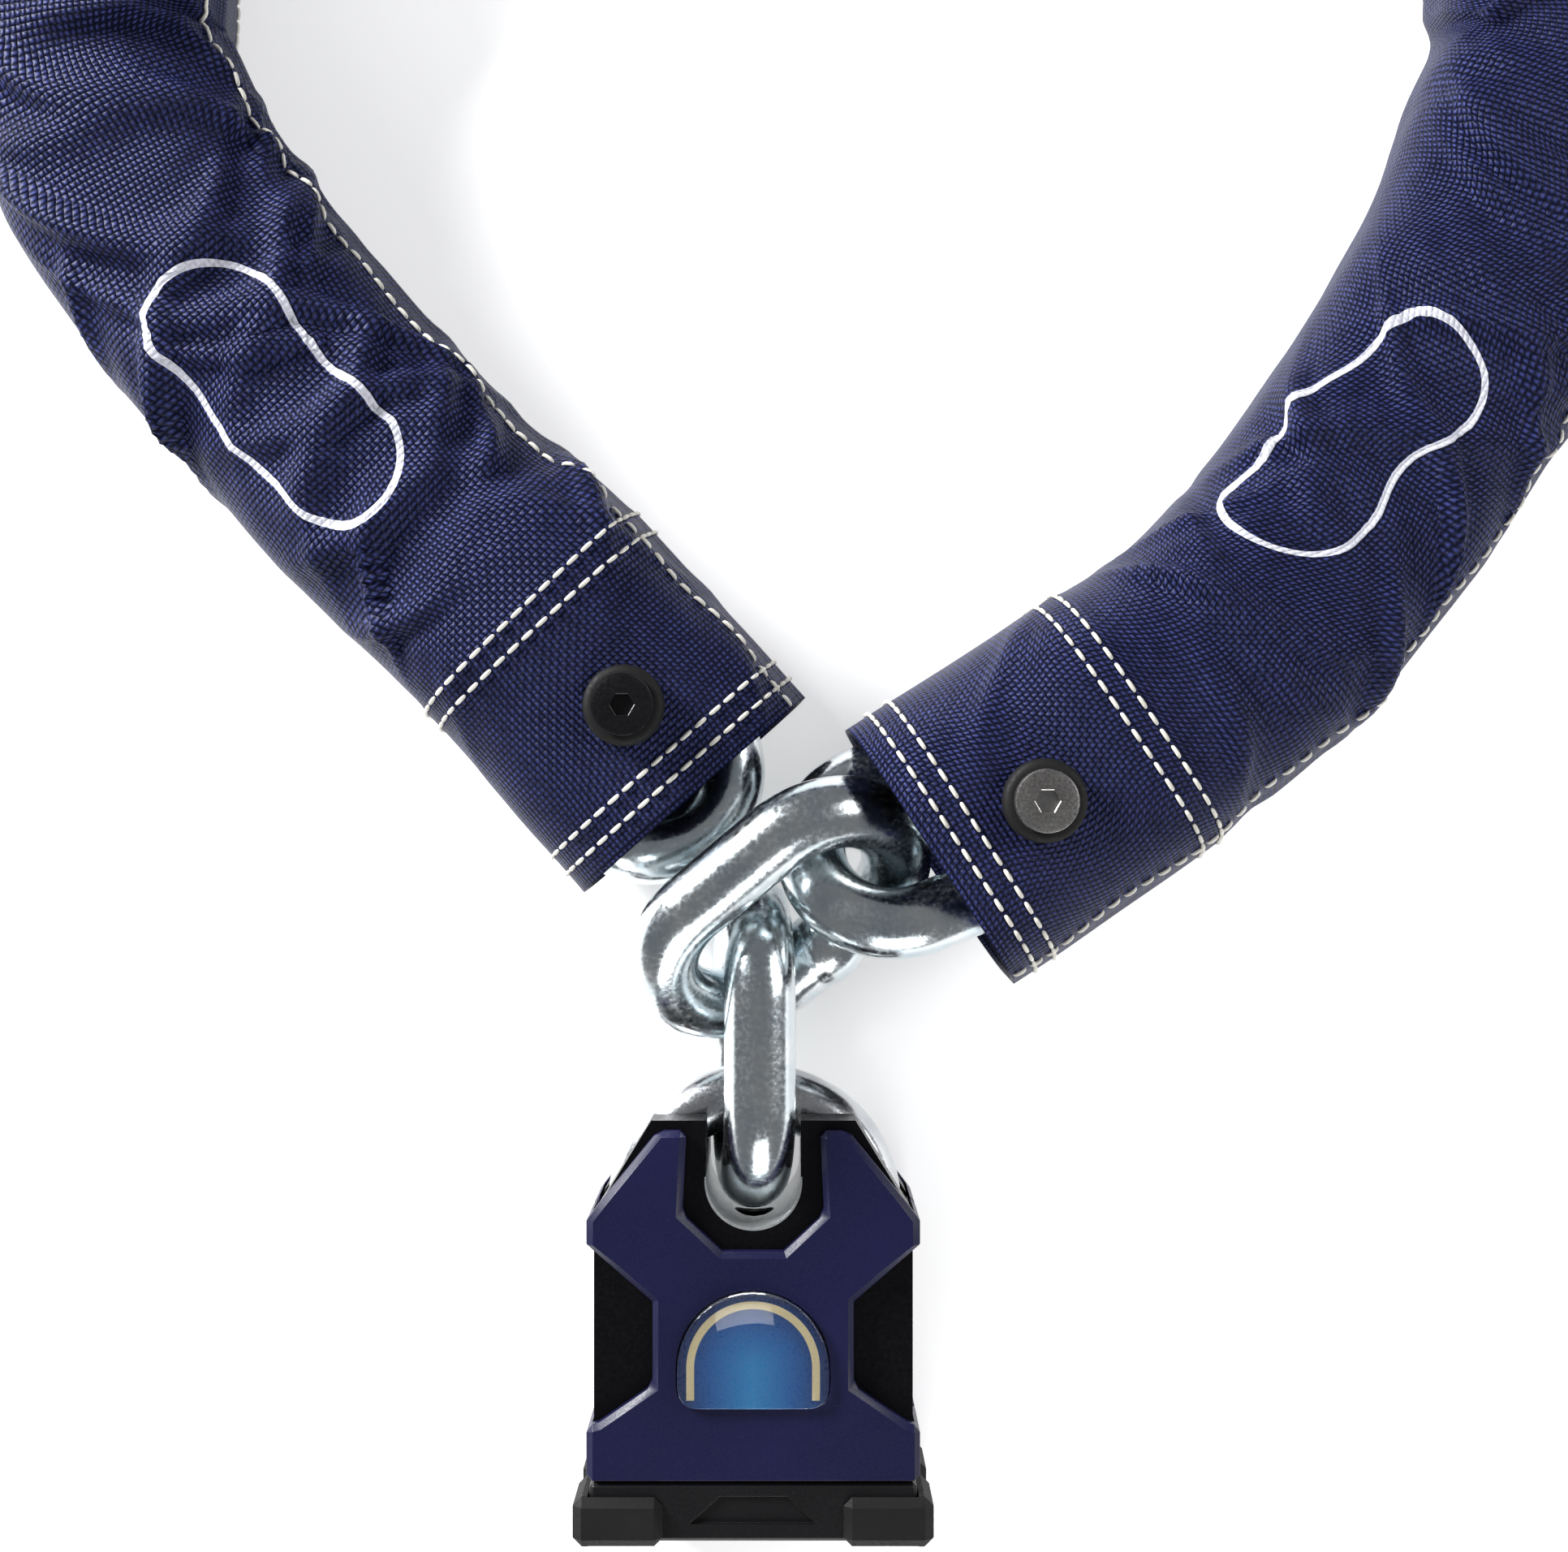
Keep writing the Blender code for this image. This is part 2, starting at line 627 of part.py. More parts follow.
def build_cylinder():
    """The brass lock cylinder, its key plug with the cam on its inner end, the pins and the balls."""
    bottom = BODY_BOTTOM + GAP
    housing = place(
        "cylinder_housing",
        rod_mesh("housing", (0, bottom, MID_Z), (0, CYLINDER_TOP, MID_Z), CYLINDER_RADIUS, 32),
        "brass",
        LOCK_PIVOT,
    )
    bore = rod_mesh("plug_bore", (0, 0, MID_Z), (0, CHAMBER_TOP, MID_Z), PLUG_BORE)
    cut(housing, place("plug_bore", bore))
    for number, row in enumerate(PIN_ROWS, 1):
        low = Vector((0, row * MM, MID_Z + PLUG_RADIUS - 1 * MM))
        high = Vector((0, row * MM, MID_Z + CYLINDER_RADIUS - 1.2 * MM))
        cut(housing, place("pin_bore", rod_mesh("pin_bore", low, high, PIN_BORE, 12)))
        foot = Vector((0, row * MM, MID_Z + PLUG_BORE + GAP))
        pin = rod_mesh("driver_pin", foot, foot + Vector((0, 0, 3 * MM)), PIN_RADIUS, 12)
        place(f"driver_pin_{number}", pin, "bright_steel", LOCK_PIVOT)

    plug_low = (0, BODY_BOTTOM, MID_Z)
    plug_high = (0, CAM_BOTTOM - GAP, MID_Z)
    plug = place("key_plug", rod_mesh("plug", plug_low, plug_high, PLUG_RADIUS), "brass", PLUG_PIVOT)
    slot_low = (-1.1 * MM, 0, MID_Z - 4.2 * MM)
    slot_high = (1.1 * MM, 32 * MM, MID_Z + 4.2 * MM)
    cut(plug, place("key_slot", box_mesh("key_slot", slot_low, slot_high)))

    # Each lobe rises evenly through a quarter turn, so the balls' travel is in step with the plug.
    rise = BALL_TRAVEL / (pi / 2)
    outline = []
    for i in range(64):
        angle = 2 * pi * i / 64
        part = (angle + radians(14)) % pi
        ramp = min(part, pi / 2 + radians(28))
        ramp = ramp - radians(14)
        if part > pi / 2 + radians(28):
            ramp = (pi / 2 + radians(14)) * (pi - part) / (pi / 2 - radians(28)) - radians(14)
        outline.append(((CAM_SMALL + rise * ramp) * cos(angle), (CAM_SMALL + rise * ramp) * sin(angle)))
    mesh = plate_mesh("cam", outline, 0, CAM_TOP - CAM_BOTTOM)
    upright = Matrix.Translation((0, CAM_BOTTOM, MID_Z)) @ Matrix.Rotation(-pi / 2, 4, "X")
    mesh.transform(upright)
    place("cam", mesh, "bright_steel", PLUG_PIVOT)
    for side, pivot in BALL_PIVOTS.items():
        place(f"ball_{side}", ball_mesh("ball", pivot.location, BALL_RADIUS), "bright_steel", pivot)


def cover_outline():
    """The moulded cover seen from the front: two horns, a waist and a wide band at the bottom."""
    half = [
        (32.5, 12.6), (32.5, 23.2), (30, 23.9), (19.6, 31), (19.6, 47.4), (25.6, 52.6), (32.5, 58.6),
        (32.5, 63.2), (29.7, 66.9), (18.6, 80.6), (13, 80.6), (13.8, 64.4), (6, 57.2),
    ]
    return mirrored(scaled(half))


def badge_outline(shrink=0.0):
    half_width = BADGE_HALF_WIDTH - shrink
    corner = 4 * MM - shrink
    low = BADGE_BOTTOM + shrink
    foot = arc((half_width - corner, low + corner), corner, corner, -90, 0, 4)
    top = arc((0, BADGE_ARCH_Y), half_width, half_width, 0, 90, 10)
    return mirrored(foot + top)


def build_covers():
    inner = BODY_HALF_WIDTH + GAP
    cavity_low = (-inner, -10 * MM, MID_Z - BODY_HALF_DEPTH - GAP)
    cavity_high = (inner, 120 * MM, MID_Z + BODY_HALF_DEPTH + GAP)
    cavity = place("cover_cavity", box_mesh("cover_cavity", cavity_low, cavity_high))
    seam = GAP / 2
    spans = {
        "front_cover": (MID_Z + seam, MID_Z + COVER_HALF_DEPTH),
        "rear_cover": (MID_Z - COVER_HALF_DEPTH, MID_Z - seam),
    }
    for name, (low, high) in spans.items():
        cover = place(name, plate_mesh(name, cover_outline(), low, high), "cover_plastic", LOCK_PIVOT)
        soften(cover, COVER_CHAMFER, 1, 50)
        cut(cover, cavity)
        if name == "front_cover":
            recess = plate_mesh("badge_recess", badge_outline(), high - BADGE_RECESS, high + 5 * MM)
            cut(cover, place("badge_recess", recess))
    front = MID_Z + COVER_HALF_DEPTH
    low = front - BADGE_RECESS + GAP / 2
    plate = plate_mesh("badge_plate", badge_outline(GAP), low, low + BADGE_PLATE)
    place("badge_plate", plate, "badge_print", LOCK_PIVOT)
    low = low + BADGE_PLATE + GAP / 3
    dome = plate_mesh("badge_dome", badge_outline(GAP), low, low + BADGE_DOME)
    soften(place("badge_dome", dome, "clear_resin", LOCK_PIVOT), 0.7 * MM, 2, 50)


def build_base():
    """The plastic base cap with its keyhole, the sliding dust shutter and the corner bumpers."""
    cap_low = (-BASE_HALF_WIDTH, BASE_BOTTOM, MID_Z - BASE_HALF_DEPTH)
    cap_high = (BASE_HALF_WIDTH, BASE_TOP, MID_Z + BASE_HALF_DEPTH)
    cap = place("base_cap", box_mesh("base_cap", cap_low, cap_high), "base_plastic", LOCK_PIVOT)
    soften(cap, 0.8 * MM, 1)
    inner = BODY_HALF_WIDTH + GAP
    depth = BODY_HALF_DEPTH + GAP
    pocket = box_mesh("cap_pocket", (-inner, BODY_BOTTOM - GAP, MID_Z - depth), (inner, 30 * MM, MID_Z + depth))
    keyhole = rod_mesh("keyhole", (0, -5 * MM, MID_Z), (0, 20 * MM, MID_Z), KEYHOLE_RADIUS)
    groove_low = (-SHUTTER_HALF - GAP, BASE_BOTTOM + 0.9 * MM, MID_Z - 6.2 * MM)
    groove_high = (SHUTTER_HALF + SHUTTER_TRAVEL + GAP, BASE_BOTTOM + 2.4 * MM, MID_Z + 6.2 * MM)
    mouth_low = (-KEYHOLE_RADIUS - 0.7 * MM, -5 * MM, MID_Z - 5.3 * MM)
    mouth_high = (KEYHOLE_RADIUS + SHUTTER_TRAVEL, BASE_BOTTOM + 1.6 * MM, MID_Z + 5.3 * MM)
    cut(
        cap,
        place("cap_pocket", pocket),
        place("keyhole", keyhole),
        place("shutter_groove", box_mesh("groove", groove_low, groove_high)),
        place("shutter_mouth", box_mesh("mouth", mouth_low, mouth_high)),
    )
    for sign in (-1, 1):
        face = MID_Z + sign * BASE_HALF_DEPTH
        wedge = mirrored(scaled([(12.3, 4.3), (6.5, 9.6)]))
        recess = plate_mesh("base_recess", wedge, face - 0.8 * MM, face + 0.8 * MM)
        cut(cap, place("base_recess", recess))

    shutter_low = (-SHUTTER_HALF, BASE_BOTTOM + 1.1 * MM, MID_Z - 5.9 * MM)
    shutter_high = (SHUTTER_HALF, BASE_BOTTOM + 2.2 * MM, MID_Z + 5.9 * MM)
    shutter = box_mesh("dust_shutter", shutter_low, shutter_high)
    place("dust_shutter", shutter, "bright_steel", SHUTTER_PIVOT)

    for side, x_sign in (("left", -1), ("right", 1)):
        for face, z_sign in (("rear", -1), ("front", 1)):
            xs = sorted((x_sign * BUMPER_INNER, x_sign * BUMPER_HALF_WIDTH))
            zs = sorted((MID_Z + z_sign * 3 * MM, MID_Z + z_sign * BUMPER_HALF_DEPTH))
            block = box_mesh("bumper", (xs[0], 0, zs[0]), (xs[1], BUMPER_TOP, zs[1]))
            bumper = place(f"bumper_{face}_{side}", block, "bumper_rubber", LOCK_PIVOT)
            soften(bumper, 1.8 * MM, 1)
            low = (-BASE_HALF_WIDTH - GAP, -5 * MM, MID_Z - BASE_HALF_DEPTH - GAP)
            high = (BASE_HALF_WIDTH + GAP, 30 * MM, MID_Z + BASE_HALF_DEPTH + GAP)
            cut(bumper, place("bumper_seat", box_mesh("bumper_seat", low, high)))


build_chain()
build_sleeve()
build_sleeve_bolts()
build_shackle()
build_lock_body()
build_cylinder()
build_covers()
build_base()
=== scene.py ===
# %% [markdown]
# # A padlock on a sleeved security chain
# This lesson dresses a finished mechanical model. The CAD pieces come in as a fixed frame. Each cell
# then gives one piece its finished surface or its material. Everything is in metres and stays
# exactly where the frame has it.

# %% Load the frame
import json

import bmesh
import bpy
import numpy as np
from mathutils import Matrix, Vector


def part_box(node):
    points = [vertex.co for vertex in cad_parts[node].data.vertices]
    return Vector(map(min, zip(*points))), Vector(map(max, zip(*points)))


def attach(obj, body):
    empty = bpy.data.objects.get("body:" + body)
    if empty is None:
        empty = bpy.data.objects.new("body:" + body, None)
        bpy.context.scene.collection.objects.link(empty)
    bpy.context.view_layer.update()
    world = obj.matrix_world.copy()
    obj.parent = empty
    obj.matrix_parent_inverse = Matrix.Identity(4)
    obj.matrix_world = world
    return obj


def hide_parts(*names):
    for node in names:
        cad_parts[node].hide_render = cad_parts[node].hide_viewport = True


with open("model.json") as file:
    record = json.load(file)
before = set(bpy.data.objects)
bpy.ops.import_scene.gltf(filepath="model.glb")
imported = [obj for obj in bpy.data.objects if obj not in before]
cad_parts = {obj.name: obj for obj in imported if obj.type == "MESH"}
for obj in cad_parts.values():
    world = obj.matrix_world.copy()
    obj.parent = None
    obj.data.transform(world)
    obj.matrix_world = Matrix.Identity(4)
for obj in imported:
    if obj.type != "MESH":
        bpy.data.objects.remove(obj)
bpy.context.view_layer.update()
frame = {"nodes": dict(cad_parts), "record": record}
MM = 0.001
BODY_OF = {node: body for body, nodes in frame["record"]["behaviour"]["bodies"].items() for node in nodes}
SLOT_OF = {part["node"]: part["material_slot"] for part in frame["record"]["subparts"]}
body_low, body_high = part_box("lock_body")
BODY_BOTTOM = 4.5 * MM
LOCK = np.array([(body_low.x + body_high.x) / 2, body_low.y - BODY_BOTTOM, 0])
MID_Z = (body_low.z + body_high.z) / 2
print("lock frame at", LOCK, "nodes", len(BODY_OF))

# %% [markdown]
# ## Camera, floor and light
# A chain lock is a flat lay: it is seen from straight above. The long lens keeps the lock's sides
# nearly hidden. Large area lights give the long soft highlights that round steel needs. The floor gives a
# little light itself, as a lit table does, so that it stays white.

# %% Camera
CAMERA_OVER_LOCK = np.array([6.0, 149.7, 490]) * MM
SENSOR_WIDTH = 36  # millimetres, as the camera's own settings have it
LENS = 53.16
camera = bpy.data.objects.new("camera", bpy.data.cameras.new("camera"))
bpy.context.scene.collection.objects.link(camera)
camera.location = LOCK + CAMERA_OVER_LOCK
camera.data.sensor_width = SENSOR_WIDTH
camera.data.lens = LENS
bpy.context.scene.camera = camera

# %% Floor, lights and sky
floor_mesh = bpy.data.meshes.new("floor")
FLOOR_HALF = 4.0
FLOOR_Z = -0.3 * MM
corners = [(-FLOOR_HALF, -FLOOR_HALF), (FLOOR_HALF, -FLOOR_HALF), (FLOOR_HALF, FLOOR_HALF), (-FLOOR_HALF, FLOOR_HALF)]
floor_mesh.from_pydata([(x, y, FLOOR_Z) for x, y in corners], [], [(0, 1, 2, 3)])
floor = bpy.data.objects.new("floor", floor_mesh)
bpy.context.scene.collection.objects.link(floor)

LIGHTS = {  # name: place over the lock, size, watts
    "key_light": ((-1.2, 0.8, 0.6), 0.5, 62),
    "fill_light": ((1.2, 0.3, 0.75), 0.8, 12),
    "low_light": ((0.1, -1.3, 0.6), 0.8, 10),
}
for name, (place, size, watts) in LIGHTS.items():
    lamp = bpy.data.objects.new(name, bpy.data.lights.new(name, "AREA"))
    bpy.context.scene.collection.objects.link(lamp)
    lamp.location = place
    lamp.rotation_euler = (-Vector(place)).to_track_quat("-Z", "Y").to_euler()
    lamp.data.size = size
    lamp.data.energy = watts

sky = bpy.data.worlds.new("studio")
bpy.context.scene.world = sky
sky.use_nodes = True
SKY_COLOUR = (0.95, 0.96, 1.0, 1)
SKY_STRENGTH = 0.2
background = sky.node_tree.nodes["Background"]
background.inputs["Color"].default_value = SKY_COLOUR
background.inputs["Strength"].default_value = SKY_STRENGTH
bpy.context.scene.view_settings.view_transform = "Standard"

# %% [markdown]
# ## Tools for materials
# A colour is written as the sRGB hex value that an eye would match, and one function turns it to the
# linear values that the shader works in. One more function adds a node with its settings and links.


# %% Colour and node helpers
def linear(hex_colour):
    """sRGB hex to linear: below 0.04045 a straight line, above it a power of 2.4."""
    values = np.array([int(hex_colour[i:i + 2], 16) for i in (1, 3, 5)]) / 255
    values = np.where(values <= 0.04045, values / 12.92, ((values + 0.055) / 1.055) ** 2.4)
    return (*values.tolist(), 1.0)


def add_node(tree, kind, settings, inputs):
    """Adds a node, sets its properties, and fills its inputs with values or links from sockets."""
    made = tree.nodes.new(kind)
    for key, value in settings.items():
        setattr(made, key, value)
    for key, value in inputs.items():
        if isinstance(value, bpy.types.NodeSocket):
            tree.links.new(value, made.inputs[key])
        else:
            made.inputs[key].default_value = value
    return made


def new_material(name, colour, roughness, **values):
    """A Principled material with its even values on the shader's own sockets."""
    material = bpy.data.materials.new(name)
    material.use_nodes = True
    shader = material.node_tree.nodes["Principled BSDF"]
    shader.inputs["Base Color"].default_value = linear(colour)
    shader.inputs["Roughness"].default_value = roughness
    for key, value in values.items():
        shader.inputs[key.replace("_", " ")].default_value = value
    return material, material.node_tree, shader


def grain(material, size, depth, low, high, detail=4.0):
    """Gives a surface its grain: bumps of a size in metres, and a roughness between low and high."""
    tree = material.node_tree
    shader = tree.nodes["Principled BSDF"]
    place = add_node(tree, "ShaderNodeTexCoord", {}, {})
    noise = add_node(
        tree, "ShaderNodeTexNoise", {}, {"Vector": place.outputs["Object"], "Scale": 1 / size, "Detail": detail}
    )
    bump = add_node(
        tree, "ShaderNodeBump", {}, {"Height": noise.outputs["Fac"], "Distance": depth, "Strength": 1.0}
    )
    rough = add_node(
        tree, "ShaderNodeMapRange", {}, {"Value": noise.outputs["Fac"], 1: 0.3, 2: 0.7, 3: low, 4: high}
    )
    tree.links.new(bump.outputs["Normal"], shader.inputs["Normal"])
    tree.links.new(rough.outputs["Result"], shader.inputs["Roughness"])
    return place, noise


def two_tone(material, place, size, first, second, spread=0.2):
    """Drifts a surface's colour between two tones in soft patches of a size in metres."""
    tree = material.node_tree
    noise = add_node(
        tree, "ShaderNodeTexNoise", {}, {"Vector": place.outputs["Object"], "Scale": 1 / size, "Detail": 3.0}
    )
    ramp = add_node(tree, "ShaderNodeValToRGB", {}, {"Fac": noise.outputs["Fac"]})
    ramp.color_ramp.elements[0].position = 0.5 - spread
    ramp.color_ramp.elements[0].color = linear(first)
    ramp.color_ramp.elements[1].position = 0.5 + spread
    ramp.color_ramp.elements[1].color = linear(second)
    tree.links.new(ramp.outputs["Color"], tree.nodes["Principled BSDF"].inputs["Base Color"])
    return ramp


# %% [markdown]
# ## Metals
# The links are hardened steel, tumbled and then bright zinc plated: a clean cool metal with a fine
# orange peel, a little bluer where the plating is thick. The shackle is satin chromed. The lock's
# block is blackened and lacquered, so it reads as black with a satin shine.

# %% Zinc plate, black coat, bare steel, chrome and brass
zinc, _, _ = new_material("zinc_plate", "#d2dade", 0.2, Metallic=1.0)
place, _ = grain(zinc, 0.9 * MM, 0.03 * MM, 0.12, 0.28)
two_tone(zinc, place, 9 * MM, "#c0ced4", "#e4e8e9")

floor_paint, _, _ = new_material(
    "pale_floor", "#f4f4f4", 0.65, Emission_Color=linear("#ffffff"), Emission_Strength=0.45
)
grain(floor_paint, 4 * MM, 0.01 * MM, 0.6, 0.7)
floor_mesh.materials.append(floor_paint)

black_steel, _, _ = new_material("black_lacquered_steel", "#17171a", 0.32, Metallic=0.6)
place, _ = grain(black_steel, 0.7 * MM, 0.02 * MM, 0.24, 0.42)
two_tone(black_steel, place, 14 * MM, "#121214", "#1f1f23")

bare_steel, _, _ = new_material("machined_steel", "#9d9b99", 0.3, Metallic=1.0)
place, _ = grain(bare_steel, 0.5 * MM, 0.012 * MM, 0.22, 0.4)
two_tone(bare_steel, place, 6 * MM, "#8d8a88", "#a9a7a4")

chrome, _, _ = new_material("satin_chrome", "#c9cbce", 0.2, Metallic=1.0)
place, _ = grain(chrome, 0.6 * MM, 0.012 * MM, 0.14, 0.28)
two_tone(chrome, place, 8 * MM, "#b9bcc0", "#d6d8da")

brass, _, _ = new_material("turned_brass", "#c2a14e", 0.28, Metallic=1.0)
place, _ = grain(brass, 0.4 * MM, 0.01 * MM, 0.2, 0.36)
two_tone(brass, place, 7 * MM, "#b8963f", "#cdb066")

# %% [markdown]
# ## The block's bright saddle
# The block is black all over except the foot of the slot between its shoulders, where a pale highlight is
# painted into its colour. One material does both. It measures how far a point is from
# the centre of the slot's round foot, and above that centre how far it is from the middle line.

# %% Block material with a painted highlight in its slot
SLOT_HALF_WIDTH = 9.3 * MM
SLOT_FLOOR = 61.0 * MM
SADDLE_TOP = 1.0 * MM
block_steel, tree, shader = new_material("block_steel", "#17171a", 0.34, Metallic=0.8)
place, _ = grain(block_steel, 0.8 * MM, 0.02 * MM, 0.26, 0.44)
spot = add_node(tree, "ShaderNodeSeparateXYZ", {}, {"Vector": place.outputs["Object"]})
across = add_node(tree, "ShaderNodeMath", {"operation": "SUBTRACT"}, {0: spot.outputs["X"], 1: float(LOCK[0])})
across = add_node(tree, "ShaderNodeMath", {"operation": "ABSOLUTE"}, {0: across.outputs[0]})
saddle_y = float(LOCK[1]) + SLOT_FLOOR + SLOT_HALF_WIDTH
above = add_node(tree, "ShaderNodeMath", {"operation": "SUBTRACT"}, {0: spot.outputs["Y"], 1: saddle_y})
lower = add_node(tree, "ShaderNodeMath", {"operation": "MINIMUM"}, {0: above.outputs[0], 1: 0.0})
pair = add_node(tree, "ShaderNodeCombineXYZ", {}, {"X": across.outputs[0], "Y": lower.outputs[0]})
reach = add_node(tree, "ShaderNodeVectorMath", {"operation": "LENGTH"}, {0: pair.outputs["Vector"]})
edge = SLOT_HALF_WIDTH + 0.25 * MM
inside = add_node(tree, "ShaderNodeMath", {"operation": "LESS_THAN"}, {0: reach.outputs["Value"], 1: edge})
below = add_node(tree, "ShaderNodeMath", {"operation": "LESS_THAN"}, {0: above.outputs[0], 1: SADDLE_TOP})
painted_saddle_highlight = add_node(tree, "ShaderNodeMath", {"operation": "MULTIPLY"}, {0: inside.outputs[0], 1: below.outputs[0]})
# The foot of the slot takes a pale grey: a painted highlight on the black block.
mix = add_node(
    tree,
    "ShaderNodeMix",
    {"data_type": "RGBA"},
    {"Factor": painted_saddle_highlight.outputs[0], 6: linear("#161619"), 7: linear("#c9cccd")},
)
tree.links.new(mix.outputs[2], shader.inputs["Base Color"])

# %% [markdown]
# ## Plastics and rubber
# The covers are injection-moulded nylon, navy, with the fine spark-eroded grain that hides sink
# marks. The base cap is the same in black. The bumpers are moulded rubber, softer and rougher.

# %% Moulded plastics and rubber
navy_plastic, _, _ = new_material("navy_moulded_nylon", "#15163a", 0.34, Specular_IOR_Level=0.3)
place, _ = grain(navy_plastic, 0.35 * MM, 0.02 * MM, 0.32, 0.46)
two_tone(navy_plastic, place, 30 * MM, "#0e0f30", "#131439")

black_plastic, _, _ = new_material("black_moulded_nylon", "#0b0b0d", 0.42, Specular_IOR_Level=0.25)
place, _ = grain(black_plastic, 0.35 * MM, 0.02 * MM, 0.36, 0.52)
two_tone(black_plastic, place, 25 * MM, "#08080a", "#0f0f11")

rubber, _, _ = new_material("moulded_rubber", "#0d0d0e", 0.62, Specular_IOR_Level=0.25)
place, _ = grain(rubber, 0.6 * MM, 0.03 * MM, 0.55, 0.75)
two_tone(rubber, place, 12 * MM, "#09090a", "#131314")

resin, _, _ = new_material("clear_resin", "#ffffff", 0.03, IOR=1.5, Transmission_Weight=1.0)
place, _ = grain(resin, 6 * MM, 0.004 * MM, 0.02, 0.06, 1.0)

# %% [markdown]
# ## Badge print
# The badge is a foil plate, printed deep blue and paler towards its middle, inside a gold arch. The
# arch is drawn by distance: above the arch's centre it is the distance from the centre, and below it
# the distance from the middle line, so that one band makes the round top and both straight sides.

# %% Printed foil
BADGE_CENTRE_Y = 34.8 * MM
BADGE_FOOT = 6.2 * MM
GLOW_REACH = 15 * MM
ARCH_RADIUS = 12.1 * MM
ARCH_HALF_BAND = 0.75 * MM
foil, tree, shader = new_material("printed_foil", "#1a6bb0", 0.3, Coat_Weight=0.5)
place, _ = grain(foil, 0.5 * MM, 0.006 * MM, 0.24, 0.36)
centre = (float(-LOCK[0]), float(-LOCK[1] - BADGE_CENTRE_Y), 0)
moved = add_node(tree, "ShaderNodeMapping", {}, {"Vector": place.outputs["Object"], "Location": centre})
spot = add_node(tree, "ShaderNodeSeparateXYZ", {}, {"Vector": moved.outputs["Vector"]})
upper = add_node(tree, "ShaderNodeMath", {"operation": "MAXIMUM"}, {0: spot.outputs["Y"], 1: 0.0})
folded = add_node(tree, "ShaderNodeCombineXYZ", {}, {"X": spot.outputs["X"], "Y": upper.outputs[0]})
reach = add_node(tree, "ShaderNodeVectorMath", {"operation": "LENGTH"}, {0: folded.outputs["Vector"]})
glow = add_node(tree, "ShaderNodeMath", {"operation": "DIVIDE"}, {0: reach.outputs["Value"], 1: GLOW_REACH})
ramp = add_node(tree, "ShaderNodeValToRGB", {}, {"Fac": glow.outputs[0]})
ramp.color_ramp.elements[0].color = linear("#2f8fd0")
ramp.color_ramp.elements[1].color = linear("#0d1b52")
ramp.color_ramp.elements.new(0.55).color = linear("#1a5fa8")
ring = add_node(tree, "ShaderNodeMath", {"operation": "SUBTRACT"}, {0: reach.outputs["Value"], 1: ARCH_RADIUS})
ring = add_node(tree, "ShaderNodeMath", {"operation": "ABSOLUTE"}, {0: ring.outputs[0]})
ring = add_node(tree, "ShaderNodeMath", {"operation": "LESS_THAN"}, {0: ring.outputs[0], 1: ARCH_HALF_BAND})
above = add_node(tree, "ShaderNodeMath", {"operation": "GREATER_THAN"}, {0: spot.outputs["Y"], 1: -BADGE_FOOT})
ring = add_node(tree, "ShaderNodeMath", {"operation": "MULTIPLY"}, {0: ring.outputs[0], 1: above.outputs[0]})
mix = add_node(
    tree,
    "ShaderNodeMix",
    {"data_type": "RGBA"},
    {"Factor": ring.outputs[0], 6: ramp.outputs["Color"], 7: linear("#e2d3a4")},
)
tree.links.new(mix.outputs[2], shader.inputs["Base Color"])

# %% [markdown]
# ## Woven nylon
# The sleeve is ballistic nylon: thick flat yarns in a plain weave, dark navy, with a pale highlight painted
# into the colour on each crossing. The real yarns are about 1.15 mm apart. The sleeve's UV map is in metres, so the
# pattern
# is a true size: each cell shows the warp or the weft on top, by turns, as a rounded hump.

# %% Weave material
YARN = 1.15 * MM
YARN_DRIFT = 3 * MM
WEAVE_DEPTH = 0.28 * MM
GIRTH = 162 * MM  # nominal distance round the sleeve, used to place the print
nylon, tree, shader = new_material(
    "ballistic_nylon", "#1c1f38", 0.42, Specular_IOR_Level=0.22, Specular_Tint=linear("#b4baf0")
)
chart = add_node(tree, "ShaderNodeUVMap", {"uv_map": "cloth"}, {})
cells = add_node(tree, "ShaderNodeVectorMath", {"operation": "SCALE"}, {0: chart.outputs["UV"], "Scale": 1 / YARN})
spot = add_node(tree, "ShaderNodeSeparateXYZ", {}, {"Vector": cells.outputs["Vector"]})
humps, cell_numbers = [], []
for axis in ("X", "Y"):
    part = add_node(tree, "ShaderNodeMath", {"operation": "FRACT"}, {0: spot.outputs[axis]})
    turn = add_node(tree, "ShaderNodeMath", {"operation": "MULTIPLY"}, {0: part.outputs[0], 1: float(np.pi)})
    humps.append(add_node(tree, "ShaderNodeMath", {"operation": "SINE"}, {0: turn.outputs[0]}).outputs[0])
    number = add_node(tree, "ShaderNodeMath", {"operation": "FLOOR"}, {0: spot.outputs[axis]})
    cell_numbers.append(number.outputs[0])
total = add_node(tree, "ShaderNodeMath", {"operation": "ADD"}, {0: cell_numbers[0], 1: cell_numbers[1]})
parity = add_node(tree, "ShaderNodeMath", {"operation": "PINGPONG"}, {0: total.outputs[0], 1: 1.0})
tops = []
for own, other in (humps, humps[::-1]):
    crown = add_node(tree, "ShaderNodeMath", {"operation": "MULTIPLY_ADD"}, {0: other, 1: 0.6, 2: 0.4})
    tops.append(add_node(tree, "ShaderNodeMath", {"operation": "MULTIPLY"}, {0: own, 1: crown.outputs[0]}).outputs[0])
height = add_node(
    tree, "ShaderNodeMix", {"data_type": "FLOAT"}, {"Factor": parity.outputs[0], 2: tops[0], 3: tops[1]}
)
place = add_node(tree, "ShaderNodeTexCoord", {}, {})
drift = add_node(
    tree, "ShaderNodeTexNoise", {}, {"Vector": place.outputs["Object"], "Scale": 1 / YARN_DRIFT, "Detail": 4.0}
)
# Each yarn's crown is painted paler, varied by the noise: a painted highlight, not the yarn's own colour.
shine = add_node(tree, "ShaderNodeMath", {"operation": "POWER"}, {0: height.outputs[0], 1: 3.0})
